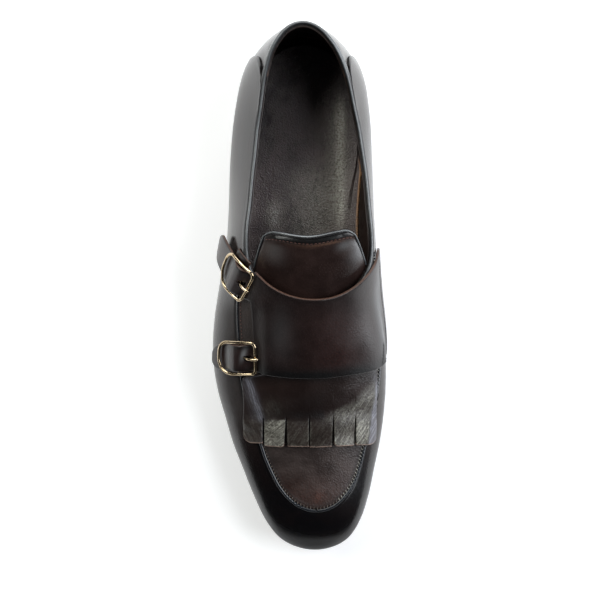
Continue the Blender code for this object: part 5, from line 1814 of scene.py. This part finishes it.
def makeSole():  # one grid for each face; the shared rim rows are welded
    u = np.linspace(0, 1, 220)[:, None]
    q = crowded(41)[None, :]
    thick, inset = lastShape["soleThick"], 0.5
    x, planS = solePoints(u, q, inset)
    fromRim = np.broadcast_to(np.minimum(q, 1 - q) * 70, x.shape)
    channel = 0.3 * bump(fromRim, soleShape["channelIn"], 0.8) * ease(planS, 74, 84)
    ones = np.ones_like(x)
    faces = [
        (placed(x, planS, underZ(planS) + thick), ones, 0 * ones),
        (placed(x, planS, underZ(planS) + channel), 0.25 + 0.6 * bump(fromRim, 0, 3),
         0.85 * ease(fromRim, 1, 4)),
    ]
    profile = ((0.0, inset), (0.12, 0.2), (0.5, 0.0), (1.6, -0.02))  # height and inset of the edge
    profile = profile + tuple((thick - height, inward) for height, inward in profile[::-1])
    for side in (0.0, 1.0):
        wall = []
        for height, inward in profile:
            edgeX, edgeS = solePoints(u[:, 0], np.full(220, side), inward)
            wall.append(placed(edgeX, edgeS, underZ(edgeS) + height))
        ones = np.ones((220, len(wall)))
        faces.append((np.stack(wall, axis=1), ones, 0 * ones))
    bm = bmesh.new()
    for points, burnish, rubbed in faces:
        copyInto(bm, gridBmesh(points, {"burnish": burnish, "rubbed": rubbed}))
    mergeClose(bm, 0.02)
    addPiece("outsole", bm, soleMaterial, "outsole", 40)


def heelPoints(u, q, z, inward=0.0):
    taper = soleShape["taper"] * (1 - z / soleShape["height"])
    s = stationAt(u * alongFoot(soleShape["heelFront"]))
    x, planS = acrossSole(s, q, -soleShape["margin"] + taper + inward)
    hollow = soleShape["bow"] * (1 - (2 * q - 1) ** 2) * (s / soleShape["heelFront"]) ** 4
    front = ease(s, soleShape["heelFront"] - soleShape["frontTaper"], soleShape["heelFront"])
    return x, planS - hollow - (taper + inward) * front


def heelSlab(name, low, high, inset, material, slot, stands):  # high is None against the sole
    u, q = np.linspace(0, 1, 90)[:, None], crowded(31)[None, :]
    under = soleShape["height"] - 0.3  # height whose taper the top against the sole has

    def layer(u, q, share):
        bevel = inset * (1 - math.sqrt(1 - max(0.0, abs(share - 0.5) * 2 - 0.68) ** 2 / 0.1024))
        if high is not None:
            height = np.full(np.broadcast(u, q).shape, low + share * (high - low))
            return placed(*heelPoints(u, q, height, bevel), height)
        height = np.full(np.broadcast(u, q).shape, low + share * (under - low))
        topZ = underZ(heelPoints(u, q, np.full_like(height, under))[1]) - 0.02
        return placed(*heelPoints(u, q, height, bevel if share < 0.5 else 0.0), low + share * (topZ - low))

    bm = bmesh.new()
    for share in (0.0, 1.0):
        copyInto(bm, gridBmesh(layer(u, q, share), {}))
    for rimU, rimQ in ((u[:, 0], np.zeros(90)), (u[:, 0], np.ones(90)), (np.ones(31), q[0])):
        wall = [layer(rimU, rimQ, share) for share in (0.0, 0.06, 0.16, 0.5, 0.84, 0.94, 1.0)]
        copyInto(bm, gridBmesh(np.stack(wall, axis=1), {}))
    mergeClose(bm, 0.02)
    addPiece(name, bm, material, stands, 40)


def makeHeel():
    low = soleShape["topLift"]
    levels = [*np.linspace(low, soleShape["stackTop"], soleShape["lifts"]), None]
    bevel, rubberBevel = soleShape["bevels"]
    for number in range(soleShape["lifts"]):
        heelSlab(f"heelLift{number + 1}", *levels[number:number + 2], bevel, heelMaterial, "heel_leather",
                 "heel_stack")
    heelSlab("topLift", 0.0, low, rubberBevel, rubberMaterial, "heel_rubber", "heel_top_lift")
    bm = bmesh.new()
    count = soleShape["nails"]
    for share in (np.arange(count) + 0.5) / count:
        side = 0.0 if share < 0.5 else 1.0
        x, s = heelPoints(abs(share - 0.5) * 1.9, side, 0.0, 5.0)
        place = Matrix.Translation(Vector((placed(x, s, 0.15) * mm).tolist()))
        radius = soleShape["nailRadius"] * mm
        bmesh.ops.create_cone(bm, cap_ends=True, cap_tris=False, segments=14, radius1=radius, radius2=radius,
                              depth=0.28 * mm, matrix=place)
    bmesh.ops.bevel(bm, geom=bm.edges[:], offset=0.06 * mm, affect="EDGES", segments=1, profile=0.5,
                    material=-1)
    addPiece("heelNails", bm, brassMaterial, "heel_top_lift", 60)


for make in (makeSides, makeCounter, makePlug, makeSeam):
    make()
print("upper ready")
for make in (makeCollar, makeLining, makeGrip, makeSock, makeTongue):
    make()
print("inside ready")
makeKiltie()
makePanel()
for buckleName, buckleStrap in strapShape["straps"].items():
    makeBuckle(buckleName, buckleStrap)
print("straps ready")
makeSole()
makeHeel()
print("sole ready")


# Floor, light and camera.

stageSetup = {
    "floorHalf": 1.5,
    "floorColour": (0.93, 0.935, 0.94),
    "floorShade": 0.985,
    "floorGlow": 0.38,
    "ground": -0.0006,
    "cameraAt": (-1.5, -113.0, 900.0),
    "lens": 91.8,
    "aim": (0.0, -0.1, 0.03),
    "lights": (  # place in metres, size, power, colour
        ((-0.85, 0.5, 1.1), (1.2, 0.6), 13.5, (0.985, 1.0, 0.955)),
        ((1.15, 0.05, 0.75), (1.2, 1.8), 31.0, (0.93, 0.96, 1.0)),
        ((0.0, 1.45, 0.75), (1.4, 0.8), 15.0, (1.0, 1.0, 1.0)),
    ),
    "dim": (0.03, 0.03, 0.032),  # the world below the horizon and above it
    "bright": (0.6, 0.61, 0.62),
}


def makeFloor():
    bm = bmesh.new()
    bmesh.ops.create_grid(bm, x_segments=1, y_segments=1, size=stageSetup["floorHalf"],
                          matrix=Matrix.Translation((0.0, 0.0, stageSetup["ground"])))
    mesh = bpy.data.meshes.new("floor")
    bm.to_mesh(mesh)
    bm.free()
    material, tree, shader = newMaterial("floorPaper")
    colour = stageSetup["floorColour"]
    shaded = tuple(stageSetup["floorShade"] * value for value in colour)
    slow = noiseNode(tree, objectPlace(tree), 3.0, 2.0)
    tree.links.new(mixColour(tree, slow, colour, shaded), shader["Base Color"])
    shader["Roughness"].default_value = 0.9
    shader["Emission Color"].default_value = (*colour, 1.0)
    shader["Emission Strength"].default_value = stageSetup["floorGlow"]
    mesh.materials.append(material)
    return addObject("floor", mesh)


def makeLights():
    for place, size, power, colour in stageSetup["lights"]:
        lamp = bpy.data.lights.new("softBox", "AREA")
        lamp.shape = "RECTANGLE"
        lamp.size, lamp.size_y = size
        lamp.energy = power
        lamp.color = colour
        light = addObject("softBox", lamp)
        light.location = place
        light.rotation_euler = (Vector(stageSetup["aim"]) - Vector(place)).to_track_quat("-Z", "Y").to_euler()
    world = bpy.data.worlds.new("studio")
    world.use_nodes = True
    tree = world.node_tree
    direction = addNode(tree, "TexCoord").outputs["Generated"]
    height = addNode(tree, "SeparateXYZ", {0: direction}).outputs["Z"]
    low = rangeNode(tree, height, -0.02, 0.04, 1.0, 0.0)
    tone = mixColour(tree, low, stageSetup["dim"], stageSetup["bright"])
    tree.links.new(tone, tree.nodes["Background"].inputs["Color"])
    bpy.context.scene.world = world


def makeCamera():
    camera = bpy.data.cameras.new("camera")
    camera.lens = stageSetup["lens"]
    camera.sensor_width = 36.0
    camera.clip_start = 0.05
    eye = addObject("camera", camera)
    eye.location = [value * mm for value in stageSetup["cameraAt"]]
    bpy.context.scene.camera = eye
    bpy.context.scene.view_settings.view_transform = "Standard"


makeFloor()
makeLights()
makeCamera()
print("stage ready")
